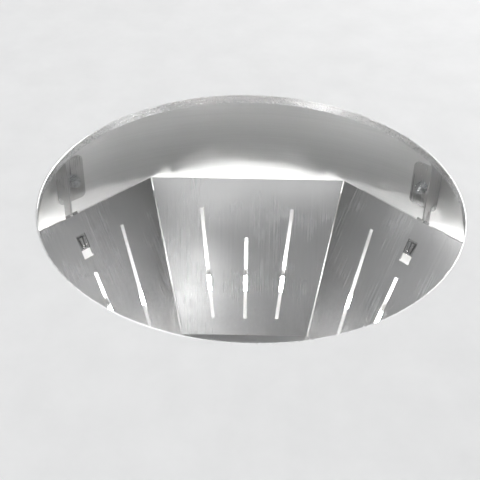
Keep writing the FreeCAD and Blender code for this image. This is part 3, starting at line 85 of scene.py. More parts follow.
class ShaderGraph:
    """A material's node tree, with one short method for each kind of node."""

    def __init__(self, name: str) -> None:
        """Start a material.

        Args:
            name: The material's name.
        """
        self.material = bpy.data.materials.new(name)
        self.material.use_nodes = True
        self.tree = self.material.node_tree
        self.shader = self.tree.nodes["Principled BSDF"]

    def node(self, kind: str, **settings: object) -> bpy.types.Node:
        """Add a node.

        Args:
            kind: The node's type name.
            **settings: Properties to set on it.

        Returns:
            The new node.
        """
        node = self.tree.nodes.new(kind)
        for key, value in settings.items():
            setattr(node, key, value)
        return node

    def feed(self, socket: bpy.types.NodeSocket, value: object) -> None:
        """Link another node's output to a socket, or set a plain value on it.

        Args:
            socket: The input socket.
            value: An output socket, a number or a colour.
        """
        if isinstance(value, bpy.types.NodeSocket):
            self.tree.links.new(value, socket)
        else:
            socket.default_value = value

    def pattern_space(
        self, sizes: Triple, turn: Triple = (0.0, 0.0, 0.0), centre: Triple = (0.0, 0.0, 0.0)
    ) -> bpy.types.NodeSocket:
        """Object coordinates, turned to a piece's own directions and counted in feature sizes.

        Args:
            sizes: Size of one feature along each turned axis, in metres.
            turn: XYZ turn of the pattern, in radians.
            centre: Middle of the pattern, in metres.

        Returns:
            The vector socket.
        """
        coordinates = self.node("ShaderNodeTexCoord").outputs["Object"]
        mapping = self.node("ShaderNodeMapping", vector_type="TEXTURE")
        self.feed(mapping.inputs["Vector"], coordinates)
        mapping.inputs["Location"].default_value = centre
        mapping.inputs["Rotation"].default_value = turn
        mapping.inputs["Scale"].default_value = sizes
        return mapping.outputs["Vector"]

    def noise(
        self, space: bpy.types.NodeSocket, detail: float = 3.0, roughness: float = 0.55
    ) -> bpy.types.NodeSocket:
        """Soft noise, one lump for each feature of its space.

        Args:
            space: The vector socket to read.
            detail: Octaves of finer noise.
            roughness: Strength of the finer noise.

        Returns:
            The factor socket.
        """
        node = self.node("ShaderNodeTexNoise")
        self.feed(node.inputs["Vector"], space)
        node.inputs["Scale"].default_value = 1.0
        node.inputs["Detail"].default_value = detail
        node.inputs["Roughness"].default_value = roughness
        return node.outputs[0]

    def cells(self, space: bpy.types.NodeSocket) -> bpy.types.NodeSocket:
        """Flat random cells.

        Args:
            space: The vector socket to read.

        Returns:
            A colour socket that is constant over each cell.
        """
        node = self.node("ShaderNodeTexVoronoi", feature="F1")
        self.feed(node.inputs["Vector"], space)
        node.inputs["Scale"].default_value = 1.0
        return node.outputs["Color"]

    def range(
        self, factor: bpy.types.NodeSocket, low: float, high: float, start: float = 0.3, end: float = 0.7
    ) -> bpy.types.NodeSocket:
        """A factor spread over a new range.

        Args:
            factor: The socket to spread.
            low: Result at the start of the factor's range.
            high: Result at its end.
            start: Factor that gives the low result.
            end: Factor that gives the high result.

        Returns:
            The result socket.
        """
        node = self.node("ShaderNodeMapRange")
        self.feed(node.inputs["Value"], factor)
        node.inputs["From Min"].default_value = start
        node.inputs["From Max"].default_value = end
        node.inputs["To Min"].default_value = low
        node.inputs["To Max"].default_value = high
        return node.outputs["Result"]

    def blend(self, factor: object, first: Colour, second: Colour) -> bpy.types.NodeSocket:
        """Mix of two colours.

        Args:
            factor: Share of the second colour, as a number or socket.
            first: Colour at zero.
            second: Colour at one.

        Returns:
            The colour socket.
        """
        node = self.node("ShaderNodeMix", data_type="RGBA")
        self.feed(node.inputs["Factor"], factor)
        self.feed(node.inputs[6], first if isinstance(first, bpy.types.NodeSocket) else (*first, 1.0))
        self.feed(node.inputs[7], second if isinstance(second, bpy.types.NodeSocket) else (*second, 1.0))
        return node.outputs[2]

    def sum(self, first: object, second: object) -> bpy.types.NodeSocket:
        """Sum of two values.

        Args:
            first: A number or socket.
            second: A number or socket.

        Returns:
            The result socket.
        """
        node = self.node("ShaderNodeMath", operation="ADD")
        self.feed(node.inputs[0], first)
        self.feed(node.inputs[1], second)
        return node.outputs[0]

    def bump(self, height: bpy.types.NodeSocket, depth: float, strength: float = 1.0) -> None:
        """Raise the surface by a pattern.

        Args:
            height: The pattern's socket.
            depth: Height of the pattern, in metres.
            strength: Share of the effect.
        """
        node = self.node("ShaderNodeBump")
        node.inputs["Strength"].default_value = strength
        node.inputs["Distance"].default_value = depth
        self.feed(node.inputs["Height"], height)
        self.feed(self.shader.inputs["Normal"], node.outputs["Normal"])

    def finish(self, colour: object, roughness: object, metallic: float = 0.0) -> bpy.types.Material:
        """Set the shader's main sockets.

        Args:
            colour: Base colour, as a colour or socket.
            roughness: Roughness, as a number or socket.
            metallic: One for bare metal.

        Returns:
            The finished material.
        """
        base = colour if isinstance(colour, bpy.types.NodeSocket) else (*colour, 1.0)
        self.feed(self.shader.inputs["Base Color"], base)
        self.feed(self.shader.inputs["Roughness"], roughness)
        self.shader.inputs["Metallic"].default_value = metallic
        return self.material


def grey(value: float) -> Colour:
    """Neutral colour."""
    return (value, value, value)


# --- finishes --------------------------------------------------------------------


@dataclass(frozen=True)
class Finish:
    """A surface finish that makes one material.

    Attributes:
        name: The material's name.
    """

    name: str

    def material(self) -> bpy.types.Material:
        """The finish's material, made once."""
        known = bpy.data.materials.get(self.name)
        return known or self.make(ShaderGraph(self.name))

    def make(self, graph: ShaderGraph) -> bpy.types.Material:
        """Build the node graph."""
        raise NotImplementedError


class Grain(Enum):
    """Direction in which a sheet was brushed, as sizes of one scratch in metres."""

    ROUND_THE_AXIS = (0.09, 0.09, 0.0004)
    ALONG_X = (0.07, 0.0004, 0.0004)
    ALONG_Z = (0.0004, 0.0004, 0.07)


@dataclass(frozen=True)
class BrushedSteel(Finish):
    """Satin stainless steel with fine scratches in one direction.

    Attributes:
        tone: Mean reflectance.
        roughness: Mean roughness.
        grain: Direction of the scratches in the pattern's own space.
        turn: Turn of the pattern's space, in radians.
        depth: Depth of the scratches, in metres.
    """

    tone: float = 0.74
    roughness: float = 0.3
    grain: Grain = Grain.ALONG_X
    turn: Triple = (0.0, 0.0, 0.0)
    depth: float = 0.0008 * MM
    cloud_size: ClassVar[float] = 0.06
    tone_spread: ClassVar[float] = 0.03
    roughness_spread: ClassVar[float] = 0.03

    def make(self, graph: ShaderGraph) -> bpy.types.Material:
        """Build the node graph."""
        fine = graph.noise(graph.pattern_space(self.grain.value, self.turn), detail=4.0, roughness=0.7)
        wide = tuple(2.5 * size for size in self.grain.value)
        streaks = graph.noise(graph.pattern_space(wide, self.turn), detail=2.0)
        clouds = graph.noise(graph.pattern_space((self.cloud_size,) * 3), detail=2.0)
        scratches = graph.sum(fine, streaks)
        low, high = self.tone - self.tone_spread, self.tone + self.tone_spread
        colour = graph.blend(graph.range(scratches, 0.0, 1.0, 0.7, 1.3), grey(low), grey(high))
        rough = graph.sum(
            graph.range(scratches, -self.roughness_spread, self.roughness_spread, 0.7, 1.3),
            graph.range(clouds, self.roughness - 0.04, self.roughness + 0.04),
        )
        graph.bump(scratches, self.depth)
        return graph.finish(colour, rough, 1.0)


@dataclass(frozen=True)
class PowderCoat(Finish):
    """Painted sheet with a faint orange-peel surface.

    Attributes:
        colour: Paint colour.
        roughness: Mean roughness.
        peel_size: Width of one dimple, in metres.
    """

    colour: Colour = grey(0.8)
    roughness: float = 0.38
    peel_size: float = 1.6 * MM

    def make(self, graph: ShaderGraph) -> bpy.types.Material:
        """Build the node graph."""
        peel = graph.noise(graph.pattern_space((self.peel_size,) * 3), detail=1.0)
        drift = graph.noise(graph.pattern_space((0.12,) * 3), detail=3.0)
        shade = tuple(0.965 * part for part in self.colour)
        colour = graph.blend(graph.range(drift, 0.0, 1.0), self.colour, shade)
        graph.bump(peel, 0.03 * MM, 0.35)
        return graph.finish(colour, graph.range(peel, self.roughness - 0.05, self.roughness + 0.05))


@dataclass(frozen=True)
class MineralBoard(Finish):
    """Matt white mineral face with soft blotches and a fine tooth.

    Attributes:
        colour: Face colour.
    """

    colour: Colour = grey(0.8)

    def make(self, graph: ShaderGraph) -> bpy.types.Material:
        """Build the node graph."""
        blotches = graph.noise(graph.pattern_space((0.045,) * 3), detail=5.0, roughness=0.6)
        tooth = graph.noise(graph.pattern_space((0.9 * MM,) * 3), detail=3.0, roughness=0.7)
        shade = tuple(0.95 * part for part in self.colour)
        colour = graph.blend(graph.range(blotches, 0.0, 1.0), self.colour, shade)
        graph.bump(graph.sum(tooth, graph.range(blotches, 0.0, 3.0)), 0.05 * MM, 0.35)
        graph.shader.inputs["Specular IOR Level"].default_value = 0.25
        return graph.finish(colour, graph.range(tooth, 0.62, 0.8))


@dataclass(frozen=True)
class SpeckledBand(Finish):
    """Bright cut steel edge with coarse sparkling marks.

    Attributes:
        tone: Mean reflectance.
    """

    tone: float = 0.82

    def make(self, graph: ShaderGraph) -> bpy.types.Material:
        """Build the node graph."""
        marks = graph.noise(graph.pattern_space((2.2 * MM, 2.2 * MM, 1.1 * MM)), detail=5.0, roughness=0.75)
        rubs = graph.noise(graph.pattern_space((0.05, 0.05, 0.6 * MM)), detail=3.0)
        both = graph.sum(marks, rubs)
        factor = graph.range(both, 0.0, 1.0, 0.75, 1.2)
        colour = graph.blend(factor, grey(self.tone - 0.18), grey(self.tone + 0.1))
        graph.bump(both, 0.09 * MM, 0.9)
        return graph.finish(colour, graph.range(marks, 0.16, 0.42), 1.0)


@dataclass(frozen=True)
class PlatedMetal(Finish):
    """Plated or ground metal with a cloudy tone and small handling marks.

    Attributes:
        colour: Mean reflectance.
        roughness: Mean roughness.
        mark_size: Size of the marks, in metres.
    """

    colour: Colour = grey(0.62)
    roughness: float = 0.3
    mark_size: float = 1.2 * MM

    def make(self, graph: ShaderGraph) -> bpy.types.Material:
        """Build the node graph."""
        marks = graph.noise(graph.pattern_space((self.mark_size,) * 3), detail=4.0, roughness=0.65)
        cloud = graph.noise(graph.pattern_space((9.0 * self.mark_size,) * 3))
        dull = tuple(0.75 * part for part in self.colour)
        colour = graph.blend(graph.range(graph.sum(marks, cloud), 0.0, 1.0, 0.7, 1.3), dull, self.colour)
        graph.bump(marks, 0.02 * MM, 0.5)
        return graph.finish(colour, graph.range(marks, self.roughness - 0.1, self.roughness + 0.12), 1.0)


@dataclass(frozen=True)
class GalvanisedSheet(Finish):
    """Zinc-dipped sheet with a spangle of flat crystals."""

    def make(self, graph: ShaderGraph) -> bpy.types.Material:
        """Build the node graph."""
        spangle = graph.cells(graph.pattern_space((9.0 * MM,) * 3))
        cloud = graph.noise(graph.pattern_space((0.03,) * 3))
        factor = graph.range(graph.sum(spangle, cloud), 0.0, 1.0, 0.4, 1.4)
        colour = graph.blend(factor, (0.44, 0.46, 0.47), (0.66, 0.68, 0.69))
        return graph.finish(colour, graph.range(spangle, 0.34, 0.52, 0.0, 1.0), 1.0)


@dataclass(frozen=True)
class MouldedPlastic(Finish):
    """Moulded plastic or rubber with a fine spark texture.

    Attributes:
        colour: Plastic colour.
        roughness: Mean roughness.
        texture_size: Size of the mould's texture, in metres.
        texture_depth: Depth of the mould's texture, in metres.
    """

    colour: Colour = grey(0.05)
    roughness: float = 0.45
    texture_size: float = 0.5 * MM
    texture_depth: float = 0.02 * MM

    def make(self, graph: ShaderGraph) -> bpy.types.Material:
        """Build the node graph."""
        texture = graph.noise(graph.pattern_space((self.texture_size,) * 3), detail=2.0)
        drift = graph.noise(graph.pattern_space((0.02,) * 3))
        worn = tuple(min(1.0, 1.15 * part + 0.01) for part in self.colour)
        colour = graph.blend(graph.range(drift, 0.0, 1.0), self.colour, worn)
        graph.bump(texture, self.texture_depth, 0.6)
        return graph.finish(colour, graph.range(texture, self.roughness - 0.06, self.roughness + 0.06))


@dataclass(frozen=True)
class OpalLens(Finish):
    """Milky diffuser that glows.

    Attributes:
        strength: Brightness of the glow.
    """

    strength: float = 60.0

    def make(self, graph: ShaderGraph) -> bpy.types.Material:
        """Build the node graph."""
        cloud = graph.noise(graph.pattern_space((0.012,) * 3))
        glow = graph.blend(graph.range(cloud, 0.0, 1.0), (1.0, 0.99, 0.97), (0.93, 0.93, 0.92))
        graph.feed(graph.shader.inputs["Emission Color"], glow)
        graph.shader.inputs["Emission Strength"].default_value = self.strength
        return graph.finish(glow, 0.4)


@dataclass(frozen=True)
class WoundCopper(Finish):
    """Enamelled wire wound in even turns, coloured darker in the grooves between turns as painted shade.

    Attributes:
        wire: Width of one turn, in metres.
    """

    wire: float = 0.9 * MM

    def make(self, graph: ShaderGraph) -> bpy.types.Material:
        """Build the node graph."""
        wave = graph.node("ShaderNodeTexWave", wave_type="BANDS", bands_direction="X")
        graph.feed(wave.inputs["Vector"], graph.pattern_space((self.wire,) * 3))
        wave.inputs["Scale"].default_value = 0.5
        wave.inputs["Distortion"].default_value = 0.6
        # Painted shade: the colour runs from dark copper in the grooves between turns to bright copper on
        # their crowns.
        colour = graph.blend(wave.outputs["Fac"], (0.3, 0.13, 0.05), (0.75, 0.36, 0.17))
        graph.bump(wave.outputs["Fac"], 0.3 * MM)
        return graph.finish(colour, 0.32, 1.0)


@dataclass(frozen=True)
class LacqueredBoard(Finish):
    """Circuit board lacquer over faint copper tracks."""

    def make(self, graph: ShaderGraph) -> bpy.types.Material:
        """Build the node graph."""
        tracks = graph.cells(graph.pattern_space((7.0 * MM, 7.0 * MM, 1.6 * MM)))
        factor = graph.range(tracks, 0.0, 1.0, 0.45, 0.55)
        colour = graph.blend(factor, (0.02, 0.16, 0.07), (0.05, 0.27, 0.12))
        return graph.finish(colour, 0.3)


# --- mesh building ---------------------------------------------------------------


def turned(profile: Sequence[tuple[float, float]], steps: int) -> bmesh.types.BMesh:
    """Closed ring spun about the Z axis.

    Args:
        profile: Closed outline, as (radius, height) pairs.
        steps: Sides of the ring.

    Returns:
        The new mesh.
    """
    bm = bmesh.new()
    verts = [bm.verts.new((radius, 0.0, height)) for radius, height in profile]
    edges = [bm.edges.new(pair) for pair in zip(verts, verts[1:] + verts[:1])]
    bmesh.ops.spin(
        bm, geom=verts + edges, cent=(0, 0, 0), axis=(0, 0, 1), angle=2 * math.pi, steps=steps, use_merge=True
    )
    bmesh.ops.remove_doubles(bm, verts=bm.verts, dist=MERGE_DISTANCE / 10)
    bmesh.ops.recalc_face_normals(bm, faces=bm.faces)
    return bm


class RingStack:
    """A turned or many-sided solid that grows along Z from one capped loop of edges."""

    def __init__(self, sides: int, radius: float, height: float = 0.0) -> None:
        """Start with a capped loop.

        Args:
            sides: Number of sides.
            radius: Radius of the first loop.
            height: Height of the first loop.
        """
        self.bm = bmesh.new()
        place = Matrix.Translation((0, 0, height))
        bmesh.ops.create_circle(self.bm, cap_ends=True, segments=sides, radius=radius, matrix=place)
        self.loop = list(self.bm.edges)
        self.radius = radius
        self.height = height

    def grow(self, *steps: tuple[float, float]) -> "RingStack":
        """Extrude the last loop.

        Args:
            *steps: Radius and height of each further loop.

        Returns:
            The stack itself.
        """
        for radius, height in steps:
            made = bmesh.ops.extrude_edge_only(self.bm, edges=self.loop)["geom"]
            verts = [item for item in made if isinstance(item, bmesh.types.BMVert)]
            fresh = set(verts)
            self.loop = [
                item for item in made if isinstance(item, bmesh.types.BMEdge) and set(item.verts) <= fresh
            ]
            share = radius / self.radius
            bmesh.ops.scale(self.bm, vec=(share, share, 1.0), verts=verts)
            bmesh.ops.translate(self.bm, vec=(0, 0, height - self.height), verts=verts)
            self.radius, self.height = radius, height
        return self

    def socket(self, sides: int, radius: float, depth: float) -> "RingStack":
        """Bridge the last loop to a many-sided recess and sink it.

        Args:
            sides: Sides of the recess.
            radius: Radius of the recess.
            depth: Depth of the recess.

        Returns:
            The stack itself.
        """
        place = Matrix.Translation((0, 0, self.height))
        made = bmesh.ops.create_circle(self.bm, segments=sides, radius=radius, matrix=place)["verts"]
        inner = list({edge for vert in made for edge in vert.link_edges})
        bmesh.ops.bridge_loops(self.bm, edges=self.loop + inner)
        self.loop, self.radius = inner, radius
        return self.grow((radius, self.height - depth), (0.45 * radius, self.height - 1.25 * depth))

    def closed(self) -> bmesh.types.BMesh:
        """The mesh with its last loop capped."""
        bmesh.ops.edgeloop_fill(self.bm, edges=self.loop)
        bmesh.ops.recalc_face_normals(self.bm, faces=self.bm.faces)
        return self.bm


def repeated(template: bmesh.types.BMesh, places: Iterable[Matrix]) -> bmesh.types.BMesh:
    """One mesh with a copy of a template at each place.

    Args:
        template: The mesh to copy, which is freed.
        places: Where each copy goes.

    Returns:
        The joined mesh.
    """
    single = bpy.data.meshes.new("template")
    template.to_mesh(single)
    template.free()
    joined = bmesh.new()
    for place in places:
        copy = single.copy()
        copy.transform(place)
        joined.from_mesh(copy)
        bpy.data.meshes.remove(copy)
    bpy.data.meshes.remove(single)
    return joined


@dataclass(frozen=True)
class Island:
    """One solid of a CAD node.

    Attributes:
        points: Its corner points.
    """

    points: tuple[Vector, ...]

    @property
    def centre(self) -> Vector:
        """Middle of its box."""
        return (self.low + self.high) / 2

    @property
    def low(self) -> Vector:
        """Lowest corner of its box."""
        return Vector(min(point[i] for point in self.points) for i in range(3))

    @property
    def high(self) -> Vector:
        """Highest corner of its box."""
        return Vector(max(point[i] for point in self.points) for i in range(3))

    def span(self, axis: Vector) -> tuple[float, float]:
        """Lowest and highest reach along an axis."""
        reach = [point.dot(axis) for point in self.points]
        return min(reach), max(reach)

    def place(self, axis: Vector, reach: float) -> Matrix:
        """Matrix that stands a template on the island.

        Args:
            axis: Direction that the template's Z axis takes.
            reach: How far along the axis the template's origin goes.

        Returns:
            The matrix.
        """
        side = self.centre - axis * self.centre.dot(axis)
        return Matrix.Translation(side + axis * reach) @ axis.to_track_quat("Z", "Y").to_matrix().to_4x4()


def merged(node: bpy.types.Object) -> bmesh.types.BMesh:
    """Copy of a CAD mesh with its loose triangles joined into clean faces.

    Args:
        node: The CAD node's object.

    Returns:
        The joined mesh.
    """
    bm = bmesh.new()
    bm.from_mesh(node.data)
    bmesh.ops.remove_doubles(bm, verts=bm.verts, dist=MERGE_DISTANCE)
    bmesh.ops.dissolve_limit(bm, angle_limit=FLAT_ANGLE, verts=bm.verts, edges=bm.edges)
    return bm


def islands(node: bpy.types.Object) -> list[Island]:
    """Separate solids of a CAD node.

    Args:
        node: The CAD node's object.

    Returns:
        One island for each solid.
    """
    bm = merged(node)
    left = set(bm.verts)
    found = []
    while left:
        stack = [left.pop()]
        group = []
        while stack:
            vert = stack.pop()
            group.append(vert.co.copy())
            near = {edge.other_vert(vert) for edge in vert.link_edges} & left
            left -= near
            stack.extend(near)
        found.append(Island(tuple(group)))
    bm.free()
    return sorted(found, key=lambda island: tuple(round(part, 5) for part in island.centre))


# --- workshop ----------------------------------------------------------------------


def absorb(target: bmesh.types.BMesh, source: bmesh.types.BMesh) -> None:
    """Add a mesh to another and free it.

    Args:
        target: The mesh that grows.
        source: The mesh that is added.
    """
    mesh = bpy.data.meshes.new("absorbed")
    source.to_mesh(mesh)
    source.free()
    target.from_mesh(mesh)
    bpy.data.meshes.remove(mesh)


def round_edges(piece: bpy.types.Object, width: float, angle: float) -> None:
    """Ease a piece's sharp edges.

    Args:
        piece: The piece.
        width: Width of the eased edge, in metres.
        angle: Least turn of a sharp edge, in radians.
    """
    bevel = piece.modifiers.new("eased_edges", "BEVEL")
    bevel.width = width
    bevel.segments = 2
    bevel.limit_method = "ANGLE"
    bevel.angle_limit = angle
    bevel.harden_normals = True


class Workshop:
    """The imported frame, with the calls that add and dress pieces."""

    def __init__(self, frame: dict) -> None:
        """Read which body and slot each node has.
        """
        record = frame["record"]
        self.nodes: dict[str, bpy.types.Object] = frame["nodes"]
        self.slot_of = {part["node"]: part["material_slot"] for part in record["subparts"]}
        self.body_of = {node: body for body, nodes in record["behaviour"]["bodies"].items() for node in nodes}

    def add(self, name: str, bm: bmesh.types.BMesh, node: str, finish: Finish) -> bpy.types.Object:
        """Make a piece that stands for a CAD node.

        Args:
            name: The piece's name.
            bm: Its mesh, which is freed.
            node: CAD node whose body it takes.
            finish: Its finish.

        Returns:
            The new object.
        """
        mesh = bpy.data.meshes.new(name)
        bm.to_mesh(mesh)
        bm.free()
        mesh.shade_smooth()
        mesh.set_sharp_from_angle(angle=SHARP_ANGLE)
        mesh.materials.append(finish.material())
        piece = bpy.data.objects.new(name, mesh)
        bpy.context.scene.collection.objects.link(piece)
        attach(piece, self.body_of[node])
        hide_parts(node)
        LOG.info("%s stands for %s on body %s", name, node, self.body_of[node])
        return piece

    def ease(self, node: str, finish: Finish, width: float) -> bpy.types.Object:
        """Stand a copy of a CAD node in for it, with its sharp edges eased.

        Args:
            node: The CAD node.
            finish: The copy's finish.
            width: Width of the eased edge, in metres.

        Returns:
            The new object.
        """
        piece = self.add(f"{node}_eased", merged(self.nodes[node]), node, finish)
        round_edges(piece, width, SHARP_ANGLE)
        return piece

    def dress(self, node: str, finish: Finish) -> None:
        """Give a CAD node a finish and leave its shape.

        Args:
            node: The CAD node.
            finish: Its finish.
        """
        piece = self.nodes[node]
        if not piece.material_slots:
            piece.data.materials.append(None)
        for slot in piece.material_slots:
            slot.material = finish.material()
        LOG.info("%s is finished in %s", node, finish.name)


# --- sub-assemblies ------------------------------------------------------------------


@dataclass
class Canopy:
    """Canopy shell, underside board, rim and plenum.

    Attributes:
        workshop: Frame and piece calls.
        rim_steps: Sides of the round rim.
        rim_ease: Rounding of the rim's free edge.
        rim_flange: Width of the rim's flange.
    """

    workshop: Workshop
    rim_steps: int = 192
    rim_ease: float = 0.3 * MM
    rim_flange: float = 24.0 * MM

    def build(self) -> None:
        """Build and dress every piece of the canopy."""
        shop = self.workshop
        coat = PowderCoat("white_powder_coat")
        for node in ("canopy_skirt", "canopy_top"):
            shop.ease(node, coat, 0.5 * MM)
        shop.ease("underside_panel", MineralBoard("white_mineral_face"), 0.4 * MM)
        self.build_rim()
        around = Grain.ROUND_THE_AXIS
        drum = BrushedSteel("steel_brushed_round", tone=0.78, grain=around, roughness=0.34)
        cone = BrushedSteel("steel_plenum", tone=0.85, grain=around, roughness=0.45)
        shop.dress("liner_drum", drum)
        shop.dress("plenum_cone", cone)

    def build_rim(self) -> None:
        """Spin the rim band with a rounded free edge and its flange."""
        low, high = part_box("rim_ring")
        outer, sheet = high.x, high.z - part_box("underside_panel")[1].z
        inner = outer - self.rim_flange
        ease = self.rim_ease
        profile = (
            (inner, low.z + ease), (inner + ease, low.z), (inner + sheet - ease, low.z),
            (inner + sheet, low.z + ease), (inner + sheet, high.z - sheet), (outer, high.z - sheet),
            (outer, high.z), (inner + ease, high.z), (inner, high.z - ease),
        )
        band = turned(profile, self.rim_steps)
        self.workshop.add("rim_band", band, "rim_ring", SpeckledBand("rim_bright_edge"))


@dataclass
class FingerCatch:
    """Sliding catch with a forked plate and a grip curled into two lobes.

    It is drawn flat, with X across the panel, Y up its slope and Z away from the room.

    Attributes:
        workshop: Frame and piece calls.
        corner: Letter of its panel.
        azimuth: Direction of its panel, in degrees.
        panel_radius: Distance from the axis to the foot of the catch.
        panel_height: Height of the foot of the catch.
        lean: Angle between the panel and the upright.
        rise: How much deeper than wide a lobe is.
    """

    workshop: Workshop
    corner: str
    azimuth: float
    panel_radius: float = 308.8 * MM
    panel_height: float = -816.4 * MM
    lean: float = math.radians(29.187)
    plate_half: float = 9.0 * MM
    plate_start: float = -3.0 * MM
    plate_end: float = 46.0 * MM
    plate_back: float = 1.5 * MM
    sheet: float = 1.2 * MM
    fork_half: float = 2.2 * MM
    fork_end: float = 3.0 * MM
    seat_half: float = 2.0 * MM
    seat_start: float = 8.0 * MM
    seat_height: float = 8.6 * MM
    grip_start: float = 29.0 * MM
    grip_length: float = 16.0 * MM
    grip_radius: float = 3.0 * MM
    grip_tip: float = 1.9 * MM
    lobe_offset: float = 2.5 * MM
    grip_wall: float = 0.6 * MM
    rise: float = 1.7
    edge: float = 0.15 * MM
    edge_angle: float = math.radians(60.0)

    def bent_plate(self) -> bmesh.types.BMesh:
        """Forked plate with the tab that holds its spring."""
        bm = bmesh.new()
        bmesh.ops.create_cube(bm, size=1.0)
        length = self.plate_end - self.plate_start
        bmesh.ops.scale(bm, vec=(2 * self.plate_half, length, self.sheet), verts=bm.verts)
        centre = (0, (self.plate_start + self.plate_end) / 2, self.plate_back + self.sheet / 2)
        bmesh.ops.translate(bm, vec=centre, verts=bm.verts)
        for point, normal in (
            ((self.fork_half, 0, 0), (1, 0, 0)), ((-self.fork_half, 0, 0), (1, 0, 0)),
            ((0, self.fork_end, 0), (0, 1, 0)),
            ((self.seat_half, 0, 0), (1, 0, 0)), ((-self.seat_half, 0, 0), (1, 0, 0)),
            ((0, self.seat_start, 0), (0, 1, 0)), ((0, self.seat_start + self.sheet, 0), (0, 1, 0)),
        ):
            everything = [*bm.verts, *bm.edges, *bm.faces]
            bmesh.ops.bisect_plane(bm, geom=everything, plane_co=point, plane_no=normal)
        fork = [
            face for face in bm.faces
            if abs(face.calc_center_median().x) < self.fork_half
            and face.calc_center_median().y < self.fork_end
        ]
        bmesh.ops.delete(bm, geom=fork, context="FACES")
        bmesh.ops.holes_fill(bm, edges=[edge for edge in bm.edges if edge.is_boundary], sides=0)
        middle = self.seat_start + self.sheet / 2
        tab = [
            face for face in bm.faces
            if face.normal.z > 0.9 and abs(face.calc_center_median().x) < self.seat_half
            and abs(face.calc_center_median().y - middle) < self.sheet / 2
        ]
        raised = bmesh.ops.extrude_face_region(bm, geom=tab)["geom"]
        verts = [item for item in raised if isinstance(item, bmesh.types.BMVert)]
        bmesh.ops.translate(bm, vec=(0, 0, self.seat_height - self.plate_back - self.sheet), verts=verts)
        bmesh.ops.delete(bm, geom=tab, context="FACES_KEEP_BOUNDARY")
        bmesh.ops.recalc_face_normals(bm, faces=bm.faces)
        return bm

    def lobe(self) -> bmesh.types.BMesh:
        """One open lobe of the grip, wide at its mouth and closed at its rounded tip."""
        wide, tip, wall = self.grip_radius, self.grip_tip, self.grip_wall
        long = self.grip_length
        stack = RingStack(32, 0.45 * tip, long)
        waist = 0.5 * (wide + tip)
        stack.grow((0.8 * tip, 0.97 * long), (tip, 0.91 * long), (waist, 0.5 * long))
        stack.grow((wide, 0.08 * long), (wide + 0.15 * wall, 0.0))
        stack.grow((wide - 0.4 * wall, 0.0), (wide - wall, 0.06 * long))
        stack.grow((waist - wall, 0.5 * long), (tip - wall, 0.86 * long))
        return stack.closed()

    def lobes(self) -> bmesh.types.BMesh:
        """Both lobes side by side, laid along the panel's slope and toed in to their tips."""
        lean = math.atan2(self.lobe_offset - 0.75 * self.grip_tip, self.grip_length)
        places = []
        for side in (-1, 1):
            start = Vector((side * self.lobe_offset, self.grip_start, self.plate_back))
            along = Matrix.Rotation(-math.pi / 2, 4, "X")
            flat = Matrix.Diagonal((1.0, 1.0, self.rise, 1.0))
            places.append(Matrix.Translation(start) @ Matrix.Rotation(side * lean, 4, "Z") @ flat @ along)
        return repeated(self.lobe(), places)

    def build(self, finish: BrushedSteel) -> None:
        """Build the catch in the panel's plane and lay it on the slope.

        Args:
            finish: Finish of the bent sheet.
        """
        bm = self.bent_plate()
        absorb(bm, self.lobes())
        on_slope = Matrix((
            (0, -math.sin(self.lean), math.cos(self.lean), self.panel_radius),
            (1, 0, 0, 0),
            (0, math.cos(self.lean), math.sin(self.lean), self.panel_height),
            (0, 0, 0, 1),
        ))
        bm.transform(Matrix.Rotation(math.radians(self.azimuth), 4, "Z") @ on_slope)
        node = f"finger_catch_{self.corner}"
        piece = self.workshop.add(f"{node}_curled", bm, node, finish)
        round_edges(piece, self.edge, self.edge_angle)


@dataclass
class Funnel:
    """Eight slotted panels, their frame, hinges and finger catches.

    Attributes:
        workshop: Frame and piece calls.
        edge: Easing of the panels' cut edges.
        slope: Turn that lays the grain along a panel's slope.
    """

    workshop: Workshop
    edge: float = 0.28 * MM
    slope: float = math.radians(-119.2)
    fixed: ClassVar[dict[str, float]] = {"end_1": 0.0, "side_1": 90.0, "end_2": 180.0, "side_2": 270.0}
    hinged: ClassVar[dict[str, float]] = {"a": 45.0, "b": 135.0, "c": 225.0, "d": 315.0}

    def sheet(self, azimuth: float) -> BrushedSteel:
        """Brushed steel whose grain runs up the slope of one side."""
        turn = (0.0, self.slope, math.radians(azimuth))
        return BrushedSteel(f"steel_panel_{azimuth:.0f}", turn=turn, roughness=0.25)

    def build(self) -> None:
        """Build and dress every piece of the funnel."""
        shop = self.workshop
        for side, azimuth in self.fixed.items():
            shop.ease(f"fixed_panel_{side}", self.sheet(azimuth), self.edge)
        bent = BrushedSteel("steel_bent_catch", tone=0.55, roughness=0.24, grain=Grain.ALONG_Z)
        wire = PlatedMetal("steel_drawn_wire", roughness=0.25, mark_size=0.3 * MM)
        for corner, azimuth in self.hinged.items():
            shop.ease(f"hinged_panel_{corner}", self.sheet(azimuth), self.edge)
            FingerCatch(shop, corner, azimuth).build(bent)
            shop.dress(f"catch_spring_{corner}", wire)
        shop.dress("hinge_rods", PlatedMetal("steel_ground_rod", roughness=0.22))
        shop.ease("throat_frame", BrushedSteel("steel_throat", roughness=0.3), self.edge)


